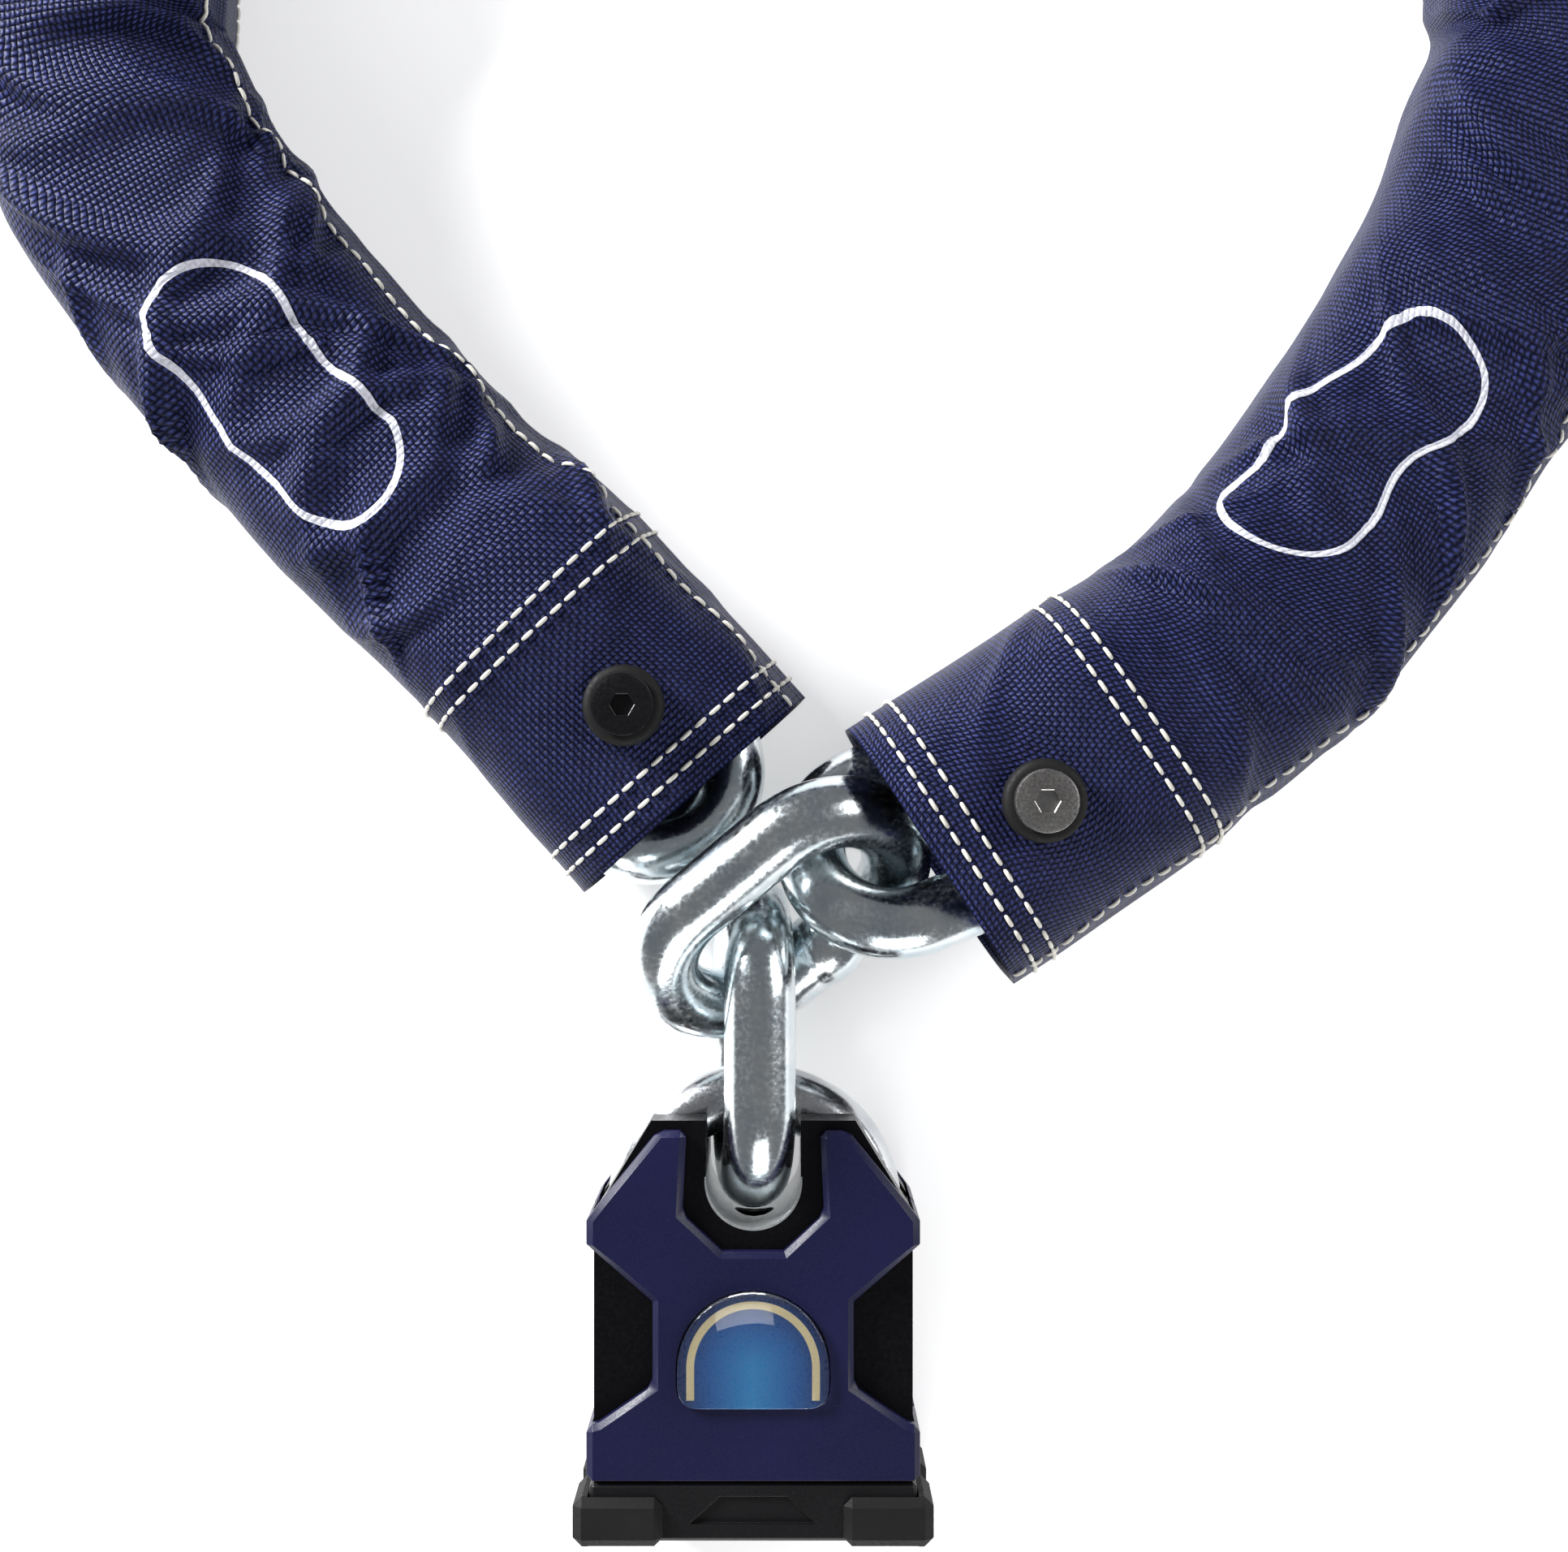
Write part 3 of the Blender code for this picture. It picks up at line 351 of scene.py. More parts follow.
shine = add_node(tree, "ShaderNodeMath", {"operation": "MULTIPLY"}, {0: shine.outputs[0], 1: drift.outputs["Fac"]})
yarn_and_painted_highlight = add_node(
    tree,
    "ShaderNodeMix",
    {"data_type": "RGBA"},
    {"Factor": shine.outputs[0], 6: linear("#070918"), 7: linear("#4a5296")},
)
bump = add_node(
    tree, "ShaderNodeBump", {}, {"Height": height.outputs[0], "Distance": WEAVE_DEPTH, "Strength": 0.9}
)
tree.links.new(bump.outputs["Normal"], shader.inputs["Normal"])

# %% [markdown]
# ## Printed outline
# Each arm of the sleeve carries a plain printed outline, a long loop. It is drawn in the same material
# by distance from a line: the loop is the band where that distance is the loop's half width.

# %% Print on the weave
TOP_LINE = 40.5 * MM  # distance round the sleeve from its sewn edge to the middle of its top
OUTLINES = ((0.112, TOP_LINE), (0.762, GIRTH - TOP_LINE))  # middle along the sleeve, and round it
OUTLINE_HALF_LENGTH = 30 * MM
OUTLINE_HALF_WIDTH = 12 * MM
OUTLINE_BAND = 0.75 * MM
ink = None
cloth = add_node(tree, "ShaderNodeSeparateXYZ", {}, {"Vector": chart.outputs["UV"]})
for middle, top_line in OUTLINES:
    along = add_node(tree, "ShaderNodeMath", {"operation": "SUBTRACT"}, {0: cloth.outputs["Y"], 1: middle})
    along = add_node(tree, "ShaderNodeMath", {"operation": "ABSOLUTE"}, {0: along.outputs[0]})
    straight = OUTLINE_HALF_LENGTH - OUTLINE_HALF_WIDTH
    along = add_node(tree, "ShaderNodeMath", {"operation": "SUBTRACT"}, {0: along.outputs[0], 1: straight})
    along = add_node(tree, "ShaderNodeMath", {"operation": "MAXIMUM"}, {0: along.outputs[0], 1: 0.0})
    side = add_node(tree, "ShaderNodeMath", {"operation": "SUBTRACT"}, {0: cloth.outputs["X"], 1: top_line})
    pair = add_node(tree, "ShaderNodeCombineXYZ", {}, {"X": side.outputs[0], "Y": along.outputs[0]})
    away = add_node(tree, "ShaderNodeVectorMath", {"operation": "LENGTH"}, {0: pair.outputs["Vector"]})
    away = add_node(
        tree, "ShaderNodeMath", {"operation": "SUBTRACT"}, {0: away.outputs["Value"], 1: OUTLINE_HALF_WIDTH}
    )
    away = add_node(tree, "ShaderNodeMath", {"operation": "ABSOLUTE"}, {0: away.outputs[0]})
    band = add_node(tree, "ShaderNodeMath", {"operation": "LESS_THAN"}, {0: away.outputs[0], 1: OUTLINE_BAND})
    if ink is None:
        ink = band
    else:
        ink = add_node(tree, "ShaderNodeMath", {"operation": "MAXIMUM"}, {0: ink.outputs[0], 1: band.outputs[0]})
printed = add_node(tree, "ShaderNodeMath", {"operation": "MULTIPLY"}, {0: ink.outputs[0], 1: 0.85})
mix = add_node(
    tree,
    "ShaderNodeMix",
    {"data_type": "RGBA"},
    {"Factor": printed.outputs[0], 6: yarn_and_painted_highlight.outputs[2], 7: linear("#dfe0ea")},
)
tree.links.new(mix.outputs[2], shader.inputs["Base Color"])

thread, _, _ = new_material("waxed_thread", "#d8d5cc", 0.6, Sheen_Weight=0.2)
place, _ = grain(thread, 0.3 * MM, 0.06 * MM, 0.5, 0.7)
two_tone(thread, place, 2 * MM, "#c9c6bb", "#e4e2da")

MATERIALS = {
    "zinc_plated_steel": zinc,
    "sleeve_nylon": nylon,
    "bolt_steel": bare_steel,
    "collar_rubber": rubber,
    "blackened_steel": black_steel,
    "cover_plastic": navy_plastic,
    "badge_print": foil,
    "clear_resin": resin,
    "base_plastic": black_plastic,
    "bumper_rubber": rubber,
    "brass": brass,
    "bright_steel": bare_steel,
}
for name, node in frame["nodes"].items():
    node.material_slots[0].material = MATERIALS[SLOT_OF[name]]
print(len(MATERIALS), "finishes on", len(frame["nodes"]), "CAD pieces")

# %% [markdown]
# ## Tools for surfaces
# Most pieces here are grids: rows of points along a path, columns round it. A grid can close on
# itself either way. The faces are worked out as index arrays, and the UV map, where there is one, is
# given at every row and column with one extra at each closing edge, so that it doesn't wrap back.


# %% Grid meshes
def grid_mesh(name, points, close_rows=False, close_columns=True, uv=None):
    """Quads between neighbouring rows and columns of points, whose shape is (rows, columns, 3)."""
    rows, columns = points.shape[:2]
    i, j = np.meshgrid(
        np.arange(rows if close_rows else rows - 1), np.arange(columns if close_columns else columns - 1),
        indexing="ij",
    )
    corners = [(i, j), (i + 1, j), (i + 1, j + 1), (i, j + 1)]
    quads = np.stack([(a % rows) * columns + b % columns for a, b in corners], -1).reshape(-1, 4)
    mesh = bpy.data.meshes.new(name)
    mesh.from_pydata(points.reshape(-1, 3).tolist(), [], quads.tolist())
    if uv is not None:
        layer = mesh.uv_layers.new(name="cloth")
        layer.data.foreach_set("uv", np.stack([uv[a, b] for a, b in corners], -2).astype(np.float32).ravel())
    mesh.shade_smooth()
    return mesh


def add_piece(name, mesh, material, *nodes):
    """A finished piece that stands for CAD nodes: it rides on their body, and they are hidden."""
    piece = bpy.data.objects.new(name, mesh)
    bpy.context.scene.collection.objects.link(piece)
    mesh.materials.clear()
    mesh.materials.append(material)
    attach(piece, BODY_OF[nodes[0]])
    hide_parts(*nodes)
    return piece


def outward(mesh, merge=1e-7):
    """Merges doubled points and turns the faces of a closed shell outwards."""
    shell = bmesh.new()
    shell.from_mesh(mesh)
    bmesh.ops.remove_doubles(shell, verts=shell.verts, dist=merge)
    bmesh.ops.recalc_face_normals(shell, faces=shell.faces)
    shell.to_mesh(mesh)
    shell.free()
    return mesh


# %% [markdown]
# ## Chain links
# A link is a bar bent to an oval and butt welded at the middle of one side. The weld stands a little
# proud and is smooth at its edges. The CAD link gives the pose: the directions in which its points
# spread most and second most are its length and its width. The links deep in the sleeve never show,
# so they keep the plain CAD shape.

# %% Swept links with their welds
WIRE_RADIUS = 7 * MM
HALF_STRAIGHT = 10.25 * MM
BEND_RADIUS = 16.25 * MM
WELD_RISE = 0.75 * MM
WELD_HALF_LENGTH = 3.2 * MM
SHOWN_LINKS = ("link_01", "link_02", "link_23", "link_24", "ring_link", "end_link")
SIDES = 40
STATIONS = 160


def link_pose(node):
    """Centre, length, width and normal of a CAD link, from its points' mean and main directions."""
    mesh = frame["nodes"][node].data
    points = np.empty(len(mesh.vertices) * 3)
    mesh.vertices.foreach_get("co", points)
    points = np.unique(points.reshape(-1, 3).round(7), axis=0)
    middle = points.mean(0)
    _, directions = np.linalg.eigh(np.cov((points - middle).T))
    long_axis, wide_axis = directions[:, 2], directions[:, 1]
    if wide_axis[2] > 0:
        wide_axis = -wide_axis
    return middle, long_axis, wide_axis, np.cross(long_axis, wide_axis)


def link_surface(node):
    """A circle carried round the oval; its radius swells where the weld is, as a smooth bell."""
    middle, long_axis, wide_axis, normal = link_pose(node)
    perimeter = 4 * HALF_STRAIGHT + 2 * np.pi * BEND_RADIUS
    walk = np.linspace(0, perimeter, STATIONS, endpoint=False)
    half_turn = np.pi * BEND_RADIUS
    first_bend = np.clip(walk - HALF_STRAIGHT, 0, half_turn) / BEND_RADIUS
    second_bend = np.clip(walk - 3 * HALF_STRAIGHT - half_turn, 0, half_turn) / BEND_RADIUS
    heading = first_bend + second_bend
    straight = (
        np.clip(walk, 0, HALF_STRAIGHT)
        - np.clip(walk - HALF_STRAIGHT - half_turn, 0, 2 * HALF_STRAIGHT)
        + np.clip(walk - 3 * HALF_STRAIGHT - 2 * half_turn, 0, HALF_STRAIGHT)
    )
    x = straight + BEND_RADIUS * np.sin(heading)
    y = BEND_RADIUS * np.cos(heading)
    bar = middle + x[:, None] * long_axis + y[:, None] * wide_axis
    outward_axis = np.sin(heading)[:, None] * long_axis + np.cos(heading)[:, None] * wide_axis
    from_weld = np.minimum(walk, perimeter - walk)
    radius = WIRE_RADIUS + WELD_RISE * np.exp(-(from_weld / WELD_HALF_LENGTH) ** 4)
    turn = np.linspace(0, 2 * np.pi, SIDES, endpoint=False)
    ring = np.cos(turn)[None, :, None] * outward_axis[:, None] + np.sin(turn)[None, :, None] * normal
    return bar[:, None] + radius[:, None, None] * ring


for name in SHOWN_LINKS:
    mesh = outward(grid_mesh(f"{name}_bar", link_surface(name), close_rows=True))
    add_piece(f"{name}_bar", mesh, zinc, name)
print("links", ", ".join(SHOWN_LINKS))

# %% [markdown]
# ## The sleeve
# The sleeve is a flat woven band, folded and sewn into a tube along one edge, and pulled over the
# chain. Its section is a squarish oval, carried along the loop. The links press through it, so it
# rises a little at each one; the cuffs are doubled; and it creases where the loop bends. A cloth
# simulation would give folds, but not where they are wanted. So the large folds are listed one by one,
# and many small ones come from a random generator with a fixed seed.

# %% The sleeve's line
ROUTE = np.array(
    [
        (-12.3, 145.6, 19.5, 29, 19.4), (-25.3, 160.3, 20.5, 28.5, 20.4), (-47, 184.3, 23, 28, 22.9),
        (-68, 203, 21.5, 27.5, 21.5),
        (-91, 228, 21, 27.5, 21), (-112, 253, 21, 27.5, 21), (-127, 278, 21, 27.5, 21),
        (-134.3, 303, 21, 27.5, 21), (-122.9, 356.6, 21, 27.5, 21), (-90.4, 402, 21, 27.5, 21),
        (-41.7, 432.3, 21, 27.5, 21), (15.7, 443, 21, 27.5, 21), (73.1, 432.3, 21, 27.5, 21),
        (121.8, 402, 21, 27.5, 21), (154.3, 356.6, 21, 27.5, 21), (165.7, 303, 21, 27.5, 21),
        (158, 274, 21, 27.5, 21), (147, 247, 21, 27.5, 21), (130, 219, 21, 27.5, 21), (114, 197, 23, 27.5, 23),
        (94, 175.3, 26, 27.5, 26), (64.5, 154, 28.3, 28.5, 28.3), (34.5, 134.2, 29, 29, 28.8),
    ]
) * MM
SMOOTHING = 24


def smooth_route(knots):
    """A Catmull-Rom curve: between two knots, the cubic that leaves and arrives along their neighbours."""
    padded = np.vstack([2 * knots[0] - knots[1], knots, 2 * knots[-1] - knots[-2]])
    before, a, b, after = padded[:-3, None], padded[1:-2, None], padded[2:-1, None], padded[3:, None]
    t = (np.arange(SMOOTHING) / SMOOTHING)[None, :, None]
    curve = 2 * a + (b - before) * t + (2 * before - 5 * a + 4 * b - after) * t**2
    curve = (curve + (3 * a - before - 3 * b + after) * t**3) / 2
    return np.vstack([curve.reshape(-1, knots.shape[1]), knots[-1]])


line = smooth_route(ROUTE)
travel = np.r_[0, np.cumsum(np.linalg.norm(np.diff(line[:, :3], axis=0), axis=1))]
SLEEVE_LENGTH = float(travel[-1])
print("sleeve", round(SLEEVE_LENGTH, 3), "m long")

# %% The sleeve's surface
LINK_PITCH = 37.1 * MM
FIRST_LINK = 18.5 * MM
PRESS = 0.7 * MM
CUFF_LENGTH = 50 * MM
CUFF_RISE = 0.5 * MM
SQUARENESS = 3.0
SEAM_START = 4  # degrees round: the sewn edge is inside the loop at the left mouth
SEAM_TURN = -188  # and passes under the sleeve to the outside at the right mouth
SEAM_WELT = 1.1 * MM
WALL = 0.9 * MM
DEEPEST = 0.9 * MM
TALLEST = 4.5 * MM
FOLD_GAIN = 1.9
CUFF_FOLD_GAIN = 0.6  # the cuffs are doubled cloth, so they fold less
CREASES = [  # distance along, angle round, depth, half width, reach round, slant
    (0.070, 70, -1.6, 4.5, 45, 6), (0.083, 110, 1.2, 4.0, 40, 6), (0.118, 150, -1.8, 5.0, 38, -7),
    (0.133, 60, -1.2, 5.0, 45, 8), (0.160, 30, -1.6, 5.0, 36, -6), (0.176, 100, 0.9, 6.0, 60, 9),
    (0.228, 40, -2.0, 6.0, 40, 8), (0.246, 70, -1.4, 5.0, 50, -8), (0.262, 35, -1.8, 5.0, 36, 7),
    (0.300, 45, -1.7, 6.0, 40, -6), (0.345, 30, -1.9, 5.0, 36, 8), (0.392, 30, -1.7, 5.0, 36, -8),
    (0.440, 30, -1.9, 6.0, 38, 6), (0.490, 30, -1.7, 5.0, 36, -6), (0.545, 30, -1.9, 6.0, 38, 7),
    (0.598, 30, -1.7, 5.0, 36, -8), (0.640, 150, 1.0, 5.0, 40, 8), (0.668, 40, -1.9, 5.0, 42, 8),
    (0.682, 60, -1.3, 4.0, 50, -6), (0.735, 140, -1.5, 5.0, 40, -8), (0.770, 60, -1.5, 5.0, 45, 7),
    (0.792, 40, -2.0, 4.0, 45, 8), (0.806, 110, 1.0, 4.0, 40, -6), (0.820, 150, -1.4, 5.0, 40, 7),
]
CREASE_SEED = 11
SMALL_CREASES = 130
chance = np.random.default_rng(CREASE_SEED)
CREASES += [
    (
        chance.uniform(0.01, SLEEVE_LENGTH - 0.01), chance.uniform(25, 155), chance.uniform(0.8, 2.4),
        chance.uniform(3.2, 6.5), chance.uniform(18, 46), chance.uniform(8, 34) * chance.choice([-1, 1]),
    )
    for _ in range(SMALL_CREASES)
]


def seam_angle(along):
    """The sewn edge's angle round the sleeve: the cloth turns over the loop's far end, as a smooth step."""
    part = np.clip((along / SLEEVE_LENGTH - 0.25) / 0.5, 0, 1)
    return np.radians(SEAM_START + SEAM_TURN * part**2 * (3 - 2 * part))


def sleeve_point(along, around, lift=0.0, folded=1.0):
    """The squarish oval at a distance along and an angle round, pushed out by cuffs, lift and folds.

    With h the half width or half height and n the squareness, a side is (h + out) * |cos| ** (2 / n).
    """
    x, y, z, half_width, half_height = (np.interp(along, travel, line[:, k]) for k in range(5))
    ahead = [np.interp(along + 6 * MM, travel, line[:, k]) for k in range(2)]
    behind = [np.interp(along - 6 * MM, travel, line[:, k]) for k in range(2)]
    run_x, run_y = ahead[0] - behind[0], ahead[1] - behind[1]
    run = np.hypot(run_x, run_y)
    cosine, sine = np.cos(around), np.sin(around)
    out = PRESS * np.cos(2 * np.pi * (along - FIRST_LINK) / LINK_PITCH) * np.abs(cosine * sine) * 2
    from_mouth = np.minimum(along, SLEEVE_LENGTH - along)
    out = out + CUFF_RISE / (1 + np.exp((from_mouth - CUFF_LENGTH) / (0.5 * MM)))
    turn_from_seam = np.angle(np.exp(1j * (around - seam_angle(along))))
    out = out + SEAM_WELT * np.exp(-(turn_from_seam / 0.07) ** 2)
    in_cuff = 1 / (1 + np.exp((from_mouth - CUFF_LENGTH) / (3 * MM)))
    gain = (FOLD_GAIN + (CUFF_FOLD_GAIN - FOLD_GAIN) * in_cuff) * (0.3 + 0.7 * np.abs(sine)) * folded
    for middle, angle, depth, half, reach, slant in CREASES:
        turned = np.angle(np.exp(1j * (around - np.radians(angle))))
        offset = along - middle - slant * MM * turned
        shape = np.exp(-(offset / (half * MM)) ** 2 - (turned / np.radians(reach)) ** 2)
        out = out + gain * depth * MM * shape * np.cos(offset / (half * MM) * 1.6)
    # The links inside hold the cloth up, so a fold can stand far out but hardly sink.
    limit = np.where(out < 0, DEEPEST, TALLEST)
    out = limit * np.tanh(out / limit)
    power = 2 / SQUARENESS
    across = (half_width + out + lift) * np.sign(cosine) * np.abs(cosine) ** power
    up = (half_height + out + lift) * np.sign(sine) * np.abs(sine) ** power
    # The cloth lies flat where it rests on the table.
    height = np.maximum(z + up, 0.2 * MM + lift)
    return np.stack([LOCK[0] + x + run_y / run * across, LOCK[1] + y - run_x / run * across, height], -1)


SLEEVE_ROWS = 400
SLEEVE_COLUMNS = 96
row, column = np.meshgrid(
    np.linspace(0, SLEEVE_LENGTH, SLEEVE_ROWS), np.linspace(0, 2 * np.pi, SLEEVE_COLUMNS + 1), indexing="ij"
)
column = column + seam_angle(row)
# Even steps round a squarish oval: the angle is warped so that the points don't bunch at its corners.
column = column + 0.12 * np.sin(4 * column)
cloth_points = sleeve_point(row, column)
steps = np.linalg.norm(np.diff(sleeve_point(row, column, folded=0.0), axis=1), axis=2)
round_distance = np.hstack([np.zeros((SLEEVE_ROWS, 1)), np.cumsum(steps, axis=1)])
sleeve_mesh = grid_mesh(
    "sleeve_cloth", cloth_points[:, :-1], uv=np.stack([round_distance, row], -1)
)
middle_of_grid = cloth_points[SLEEVE_ROWS // 2]
face = sleeve_mesh.polygons[(SLEEVE_ROWS // 2) * SLEEVE_COLUMNS + SLEEVE_COLUMNS // 4]
if face.normal.dot(face.center - Vector(middle_of_grid.mean(0))) < 0:
    sleeve_mesh.flip_normals()
sleeve = add_piece("sleeve_cloth", sleeve_mesh, nylon, "sleeve")
wall = sleeve.modifiers.new("wall", "SOLIDIFY")
wall.thickness = WALL
wall.offset = -1

# %% [markdown]
# ## Stitching
# Two rows of thick thread hold each cuff at its mouth and two more at its inner end, and a row runs
# the whole length on each side of the sewn edge. A stitch is a short rounded bar that dives into the cloth at
# both ends. All the stitches are one array: the same small bar, placed by each stitch's own axes.

# %% Stitches
STITCH = 2.9 * MM
STITCH_PITCH = 3.7 * MM
STITCH_RADIUS = 0.42 * MM
ROWS_FROM_MOUTH = (5 * MM, 9.5 * MM, 44 * MM, 48.5 * MM)
SEAM_ROW_ANGLE = 0.42
OUTLINE_POINTS = 1200


def stitch_mesh(along, around):
    """Bars on the sleeve at each (along, around) pair but the last, each pointing to the next one."""
    here = sleeve_point(along, around, 0.1 * MM)
    step = np.diff(here, axis=0)
    distance = np.linalg.norm(step, axis=1, keepdims=True)
    direction = step / distance
    nudge = 0.5 * MM
    by_length = sleeve_point(along[:-1] + nudge, around[:-1]) - sleeve_point(along[:-1], around[:-1])
    by_turn = sleeve_point(along[:-1], around[:-1] + 0.02) - sleeve_point(along[:-1], around[:-1])
    normal = np.cross(by_turn, by_length)
    normal /= np.linalg.norm(normal, axis=1, keepdims=True)
    centre = (here[:-1] + here[1:]) / 2
    axis_point = np.stack([np.interp(along[:-1], travel, line[:, k]) for k in range(3)], -1) + LOCK
    normal *= np.sign((normal * (centre - axis_point)).sum(1, keepdims=True))
    side = np.cross(direction, normal)
    ring_place = np.array([-0.5, -0.42, -0.2, 0.2, 0.42, 0.5]) * STITCH
    ring_size = np.array([0.25, 0.8, 1, 1, 0.8, 0.25]) * STITCH_RADIUS
    ring_rise = np.array([-0.5, 0.15, 0.55, 0.55, 0.15, -0.5]) * STITCH_RADIUS
    turn = np.linspace(0, 2 * np.pi, 8, endpoint=False)
    points = (
        centre[:, None, None]
        + ring_place[None, :, None, None] * direction[:, None, None]
        + (ring_rise[:, None] + ring_size[:, None] * np.sin(turn))[None, :, :, None] * normal[:, None, None]
        + (ring_size[:, None] * np.cos(turn))[None, :, :, None] * side[:, None, None]
    )
    return points


def bars_to_mesh(name, groups):
    """One mesh from many bars of 6 rings by 8 points, each closed at both ends."""
    points = np.concatenate(groups)
    count, rings, sides = points.shape[:3]
    i, j = np.meshgrid(np.arange(rings - 1), np.arange(sides), indexing="ij")
    k = (j + 1) % sides
    quads = np.stack([i * sides + j, i * sides + k, (i + 1) * sides + k, (i + 1) * sides + j], -1).reshape(-1, 4)
    ends = [list(range(sides)), list(range((rings - 1) * sides, rings * sides))]
    base = np.arange(count) * rings * sides
    faces = (base[:, None, None] + quads).reshape(-1, 4).tolist()
    faces += [[start + v for v in end] for start in base.tolist() for end in ends]
    mesh = bpy.data.meshes.new(name)
    mesh.from_pydata(points.reshape(-1, 3).tolist(), [], faces)
    mesh.shade_smooth()
    return outward(mesh)


groups = []
for distance in ROWS_FROM_MOUTH:
    for along in (distance, SLEEVE_LENGTH - distance):
        once_round = np.linspace(0, 2 * np.pi, OUTLINE_POINTS) + seam_angle(along)
        outline = sleeve_point(np.full(OUTLINE_POINTS, along), once_round)
        walked = np.r_[0, np.cumsum(np.linalg.norm(np.diff(outline, axis=0), axis=1))]
        count = int(walked[-1] / STITCH_PITCH)
        angles = np.interp(np.linspace(0, walked[-1], count + 1), walked, once_round)
        groups.append(stitch_mesh(np.full(count + 1, along), angles))
along = np.linspace(0, SLEEVE_LENGTH, int(SLEEVE_LENGTH / STITCH_PITCH) + 1)
for beside in (-SEAM_ROW_ANGLE, SEAM_ROW_ANGLE):
    groups.append(stitch_mesh(along, seam_angle(along) + beside))
stitches = bpy.data.objects.new("sleeve_stitching", bars_to_mesh("sleeve_stitching", groups))
bpy.context.scene.collection.objects.link(stitches)
stitches.data.materials.append(thread)
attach(stitches, "chain")
print(sum(len(group) for group in groups), "stitches")

# %% [markdown]
# ## Sleeve bolts
# Each mouth is held to the chain by a screw in a barrel nut, with a rubber collar between the head
# and the cloth. Turned parts are profiles spun about their axis. The head's hexagon socket is a ring
# whose radius follows a hexagon: the flat's distance over the cosine of the angle from the flat.

# %% Turned pieces
TURNED_SIDES = 72


def turned_mesh(name, profile, centre):
    """Spins a profile of (radius, height, hexagonal) about an upright axis through centre."""
    turn = np.linspace(0, 2 * np.pi, TURNED_SIDES, endpoint=False)
    hexagon = 1 / np.cos((turn % (np.pi / 3)) - np.pi / 6)
    rows = [
        np.stack([r * np.cos(turn) * k, r * np.sin(turn) * k, np.full(TURNED_SIDES, h)], -1)
        for r, h, k in ((r, h, hexagon if six else 1.0) for r, h, six in profile)
    ]
    mesh = outward(grid_mesh(name, np.array(rows) * MM + np.array(centre)))
    mesh.set_sharp_from_angle(angle=np.radians(32))
    return mesh


for side, finish in (("left", black_steel), ("right", bare_steel)):
    low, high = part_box(f"sleeve_bolt_{side}")
    middle = ((low.x + high.x) / 2, (low.y + high.y) / 2, high.z)
    head = [
        (0, -1.5, True), (2.0, -1.5, True), (2.0, -0.1, True), (2.15, 0, True), (5.4, 0, False), (5.8, -0.12, False),
        (6.0, -0.45, False), (6.0, -2.5, False), (1.95, -2.5, False), (1.95, -6.9, False), (0, -6.9, False),
    ]
    add_piece(f"bolt_{side}", turned_mesh(f"bolt_{side}", head, middle), finish, f"sleeve_bolt_{side}")
    low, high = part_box(f"bolt_collar_{side}")
    middle = ((low.x + high.x) / 2, (low.y + high.y) / 2, high.z)
    collar = [
        (3.5, 0, False), (6.3, 0, False), (6.9, -0.1, False), (7.5, -0.45, False), (7.8, -0.95, False),
        (7.9, -1.6, False), (7.9, -3.3, False), (7.7, -3.5, False), (3.5, -3.5, False), (3.5, 0, False),
    ]
    add_piece(f"collar_{side}", turned_mesh(f"collar_{side}", collar, middle), rubber, f"bolt_collar_{side}")

# %% [markdown]
# ## Shackle
# The shackle is a bar bent to a staple. Near the foot of each leg a ball bites into a round notch on
# the inner side. The bar is a circle carried along two legs and half an ellipse, and the notches are
# made by pushing every point that falls inside the ball's sphere out to the sphere's surface.

# %% Shackle
LEG_X = 23.3 * MM
LEG_BOTTOM = 26 * MM
ARCH_BASE = 63.5 * MM
ARCH_RISE = 21.8 * MM
BAR_RADIUS = 6.3 * MM
NOTCH_AT = np.array([15.25, 45, 0]) * MM
NOTCH_RADIUS = 4.3 * MM
leg = np.linspace(LEG_BOTTOM, ARCH_BASE, 120)
bend = np.linspace(0, np.pi, 96)[1:-1]
path_x = np.r_[np.full(len(leg), LEG_X), LEG_X * np.cos(bend), np.full(len(leg), -LEG_X)]
path_y = np.r_[leg, ARCH_BASE + ARCH_RISE * np.sin(bend), leg[::-1]]
run = np.stack([np.gradient(path_x), np.gradient(path_y)], -1)
run /= np.linalg.norm(run, axis=1, keepdims=True)
shrink = np.ones(len(path_x))
foot_round = np.array([0.0, 0.55, 0.85, 0.97])
shrink[:4], shrink[-4:] = foot_round, foot_round[::-1]
turn = np.linspace(0, 2 * np.pi, 56, endpoint=False)
ring_x = path_x[:, None] + BAR_RADIUS * shrink[:, None] * np.cos(turn) * run[:, 1:]
ring_y = path_y[:, None] - BAR_RADIUS * shrink[:, None] * np.cos(turn) * run[:, :1]
ring_z = BAR_RADIUS * shrink[:, None] * np.sin(turn)
bar = np.stack([ring_x, ring_y, ring_z], -1)
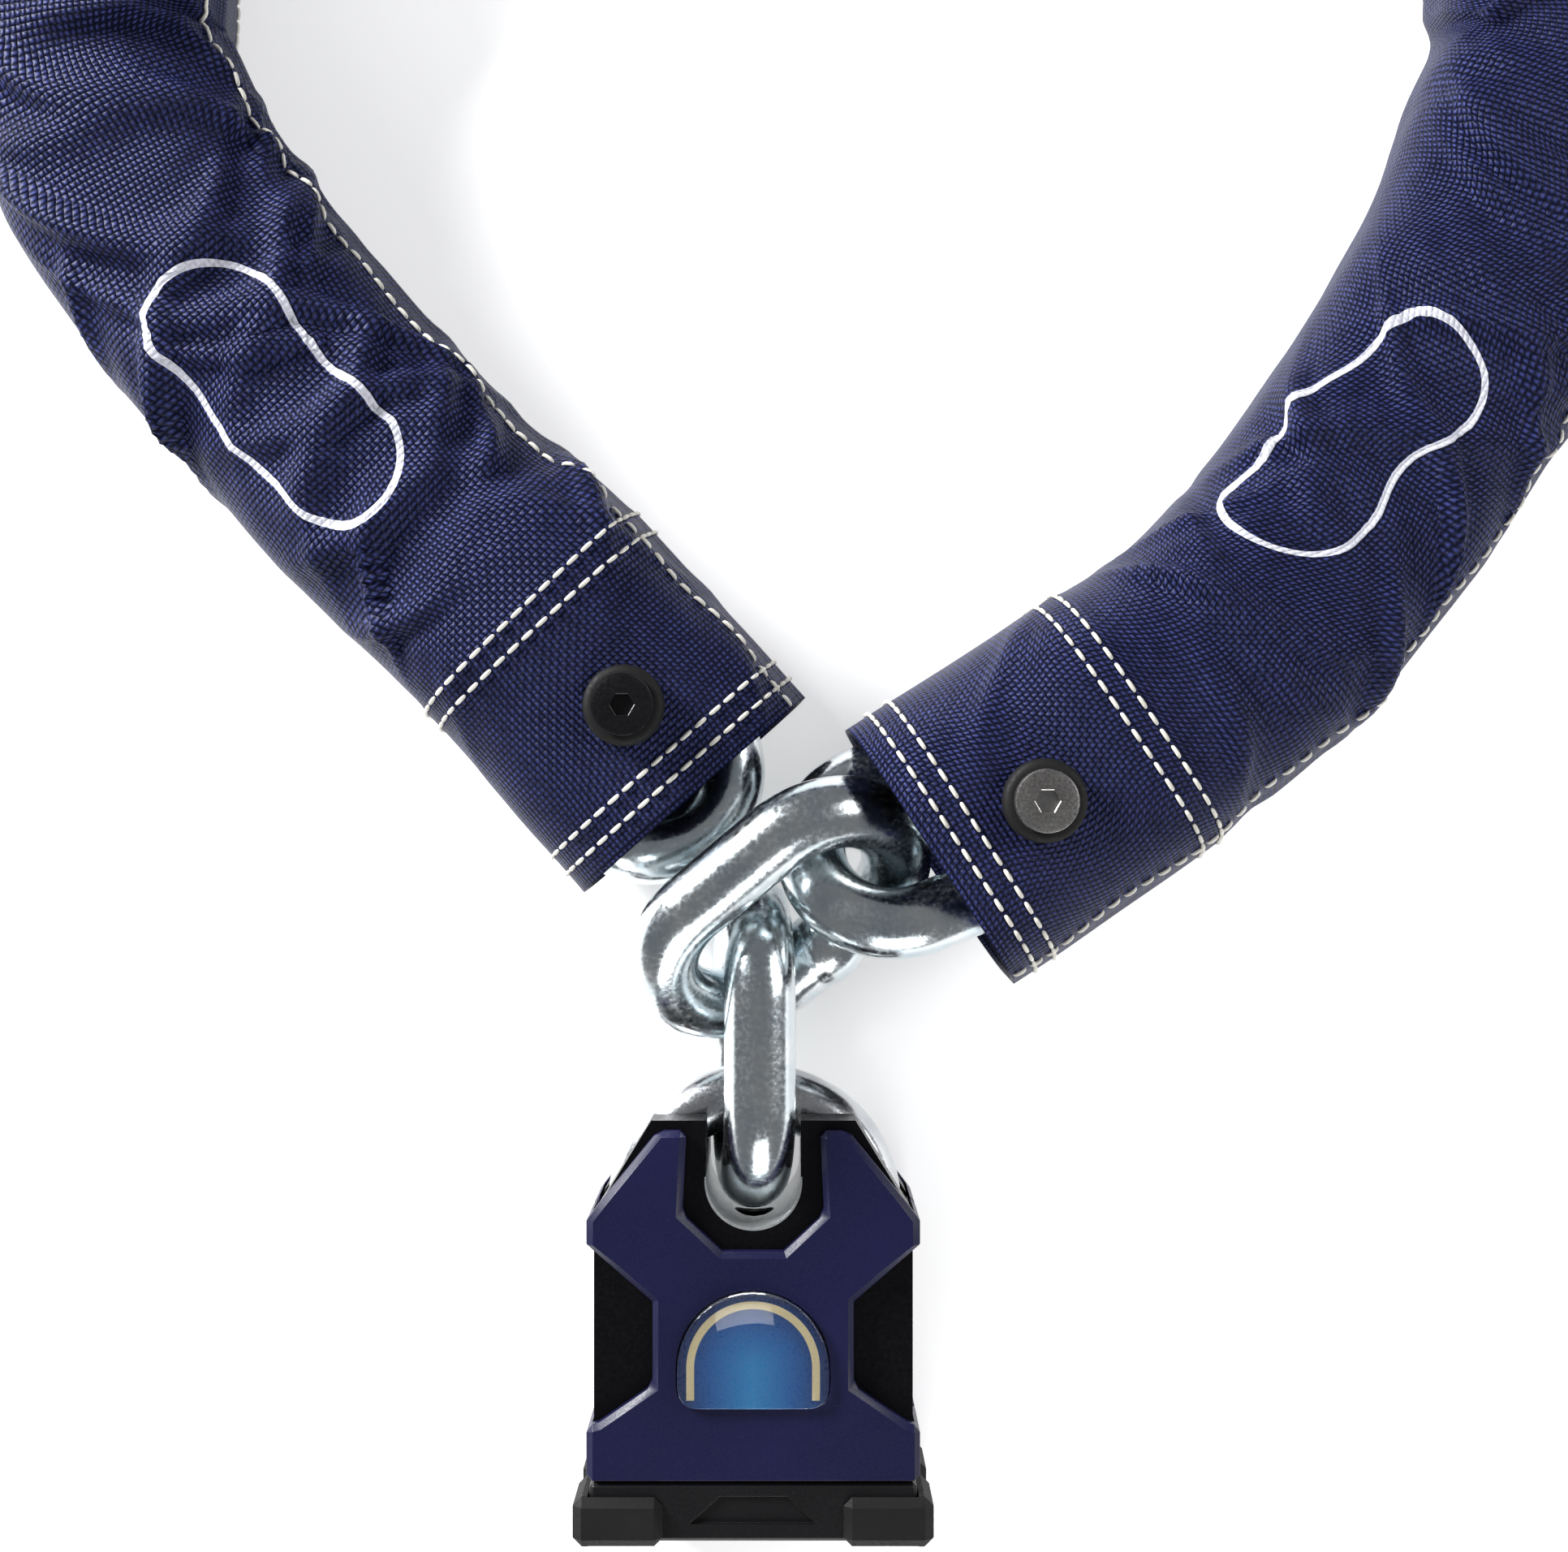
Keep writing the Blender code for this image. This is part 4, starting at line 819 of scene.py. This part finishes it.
for sign in (-1, 1):
    offset = bar - NOTCH_AT * np.array([sign, 1, 1])
    distance = np.linalg.norm(offset, axis=-1, keepdims=True)
    bar = np.where(distance < NOTCH_RADIUS, bar - offset + offset / distance * NOTCH_RADIUS, bar)
bar += LOCK + np.array([0, 0, MID_Z])
add_piece("shackle_bar", outward(grid_mesh("shackle_bar", bar)), chrome, "shackle")

# %% [markdown]
# ## Lock pieces with softened edges
# The block, covers, cap and bumpers have the right shape already, but no real edge is perfectly
# sharp. A copy of each CAD mesh is merged, its flat faces are joined, and a small rounded bevel
# catches the light along its edges.


# %% Softened copies
def softened(node, material, edge, segments=3, sharp=28):
    """A merged copy of a CAD node with a rounded bevel on every edge sharper than an angle."""
    mesh = bpy.data.meshes.new(f"{node}_finished")
    shell = bmesh.new()
    shell.from_mesh(frame["nodes"][node].data)
    bmesh.ops.remove_doubles(shell, verts=shell.verts, dist=1e-6)
    bmesh.ops.dissolve_limit(shell, angle_limit=np.radians(1), verts=shell.verts, edges=shell.edges)
    bmesh.ops.recalc_face_normals(shell, faces=shell.faces)
    shell.to_mesh(mesh)
    shell.free()
    if "custom_normal" in mesh.attributes:
        mesh.attributes.remove(mesh.attributes["custom_normal"])
    mesh.shade_smooth()
    mesh.set_sharp_from_angle(angle=np.radians(sharp))
    piece = add_piece(f"{node}_finished", mesh, material, node)
    bevel = piece.modifiers.new("edges", "BEVEL")
    bevel.width = edge
    bevel.segments = segments
    bevel.limit_method = "ANGLE"
    bevel.angle_limit = np.radians(sharp)
    bevel.harden_normals = True
    return piece


SOFTENED = {
    "lock_body": (block_steel, 1.4 * MM),
    "front_cover": (navy_plastic, 0.22 * MM),
    "rear_cover": (navy_plastic, 0.22 * MM),
    "badge_dome": (resin, 0.2 * MM),
    "base_cap": (black_plastic, 0.2 * MM),
}
for node in BODY_OF:
    if node.startswith("bumper"):
        SOFTENED[node] = (rubber, 0.35 * MM)
for node, (material, edge) in SOFTENED.items():
    softened(node, material, edge)
print(len(SOFTENED), "lock pieces softened")
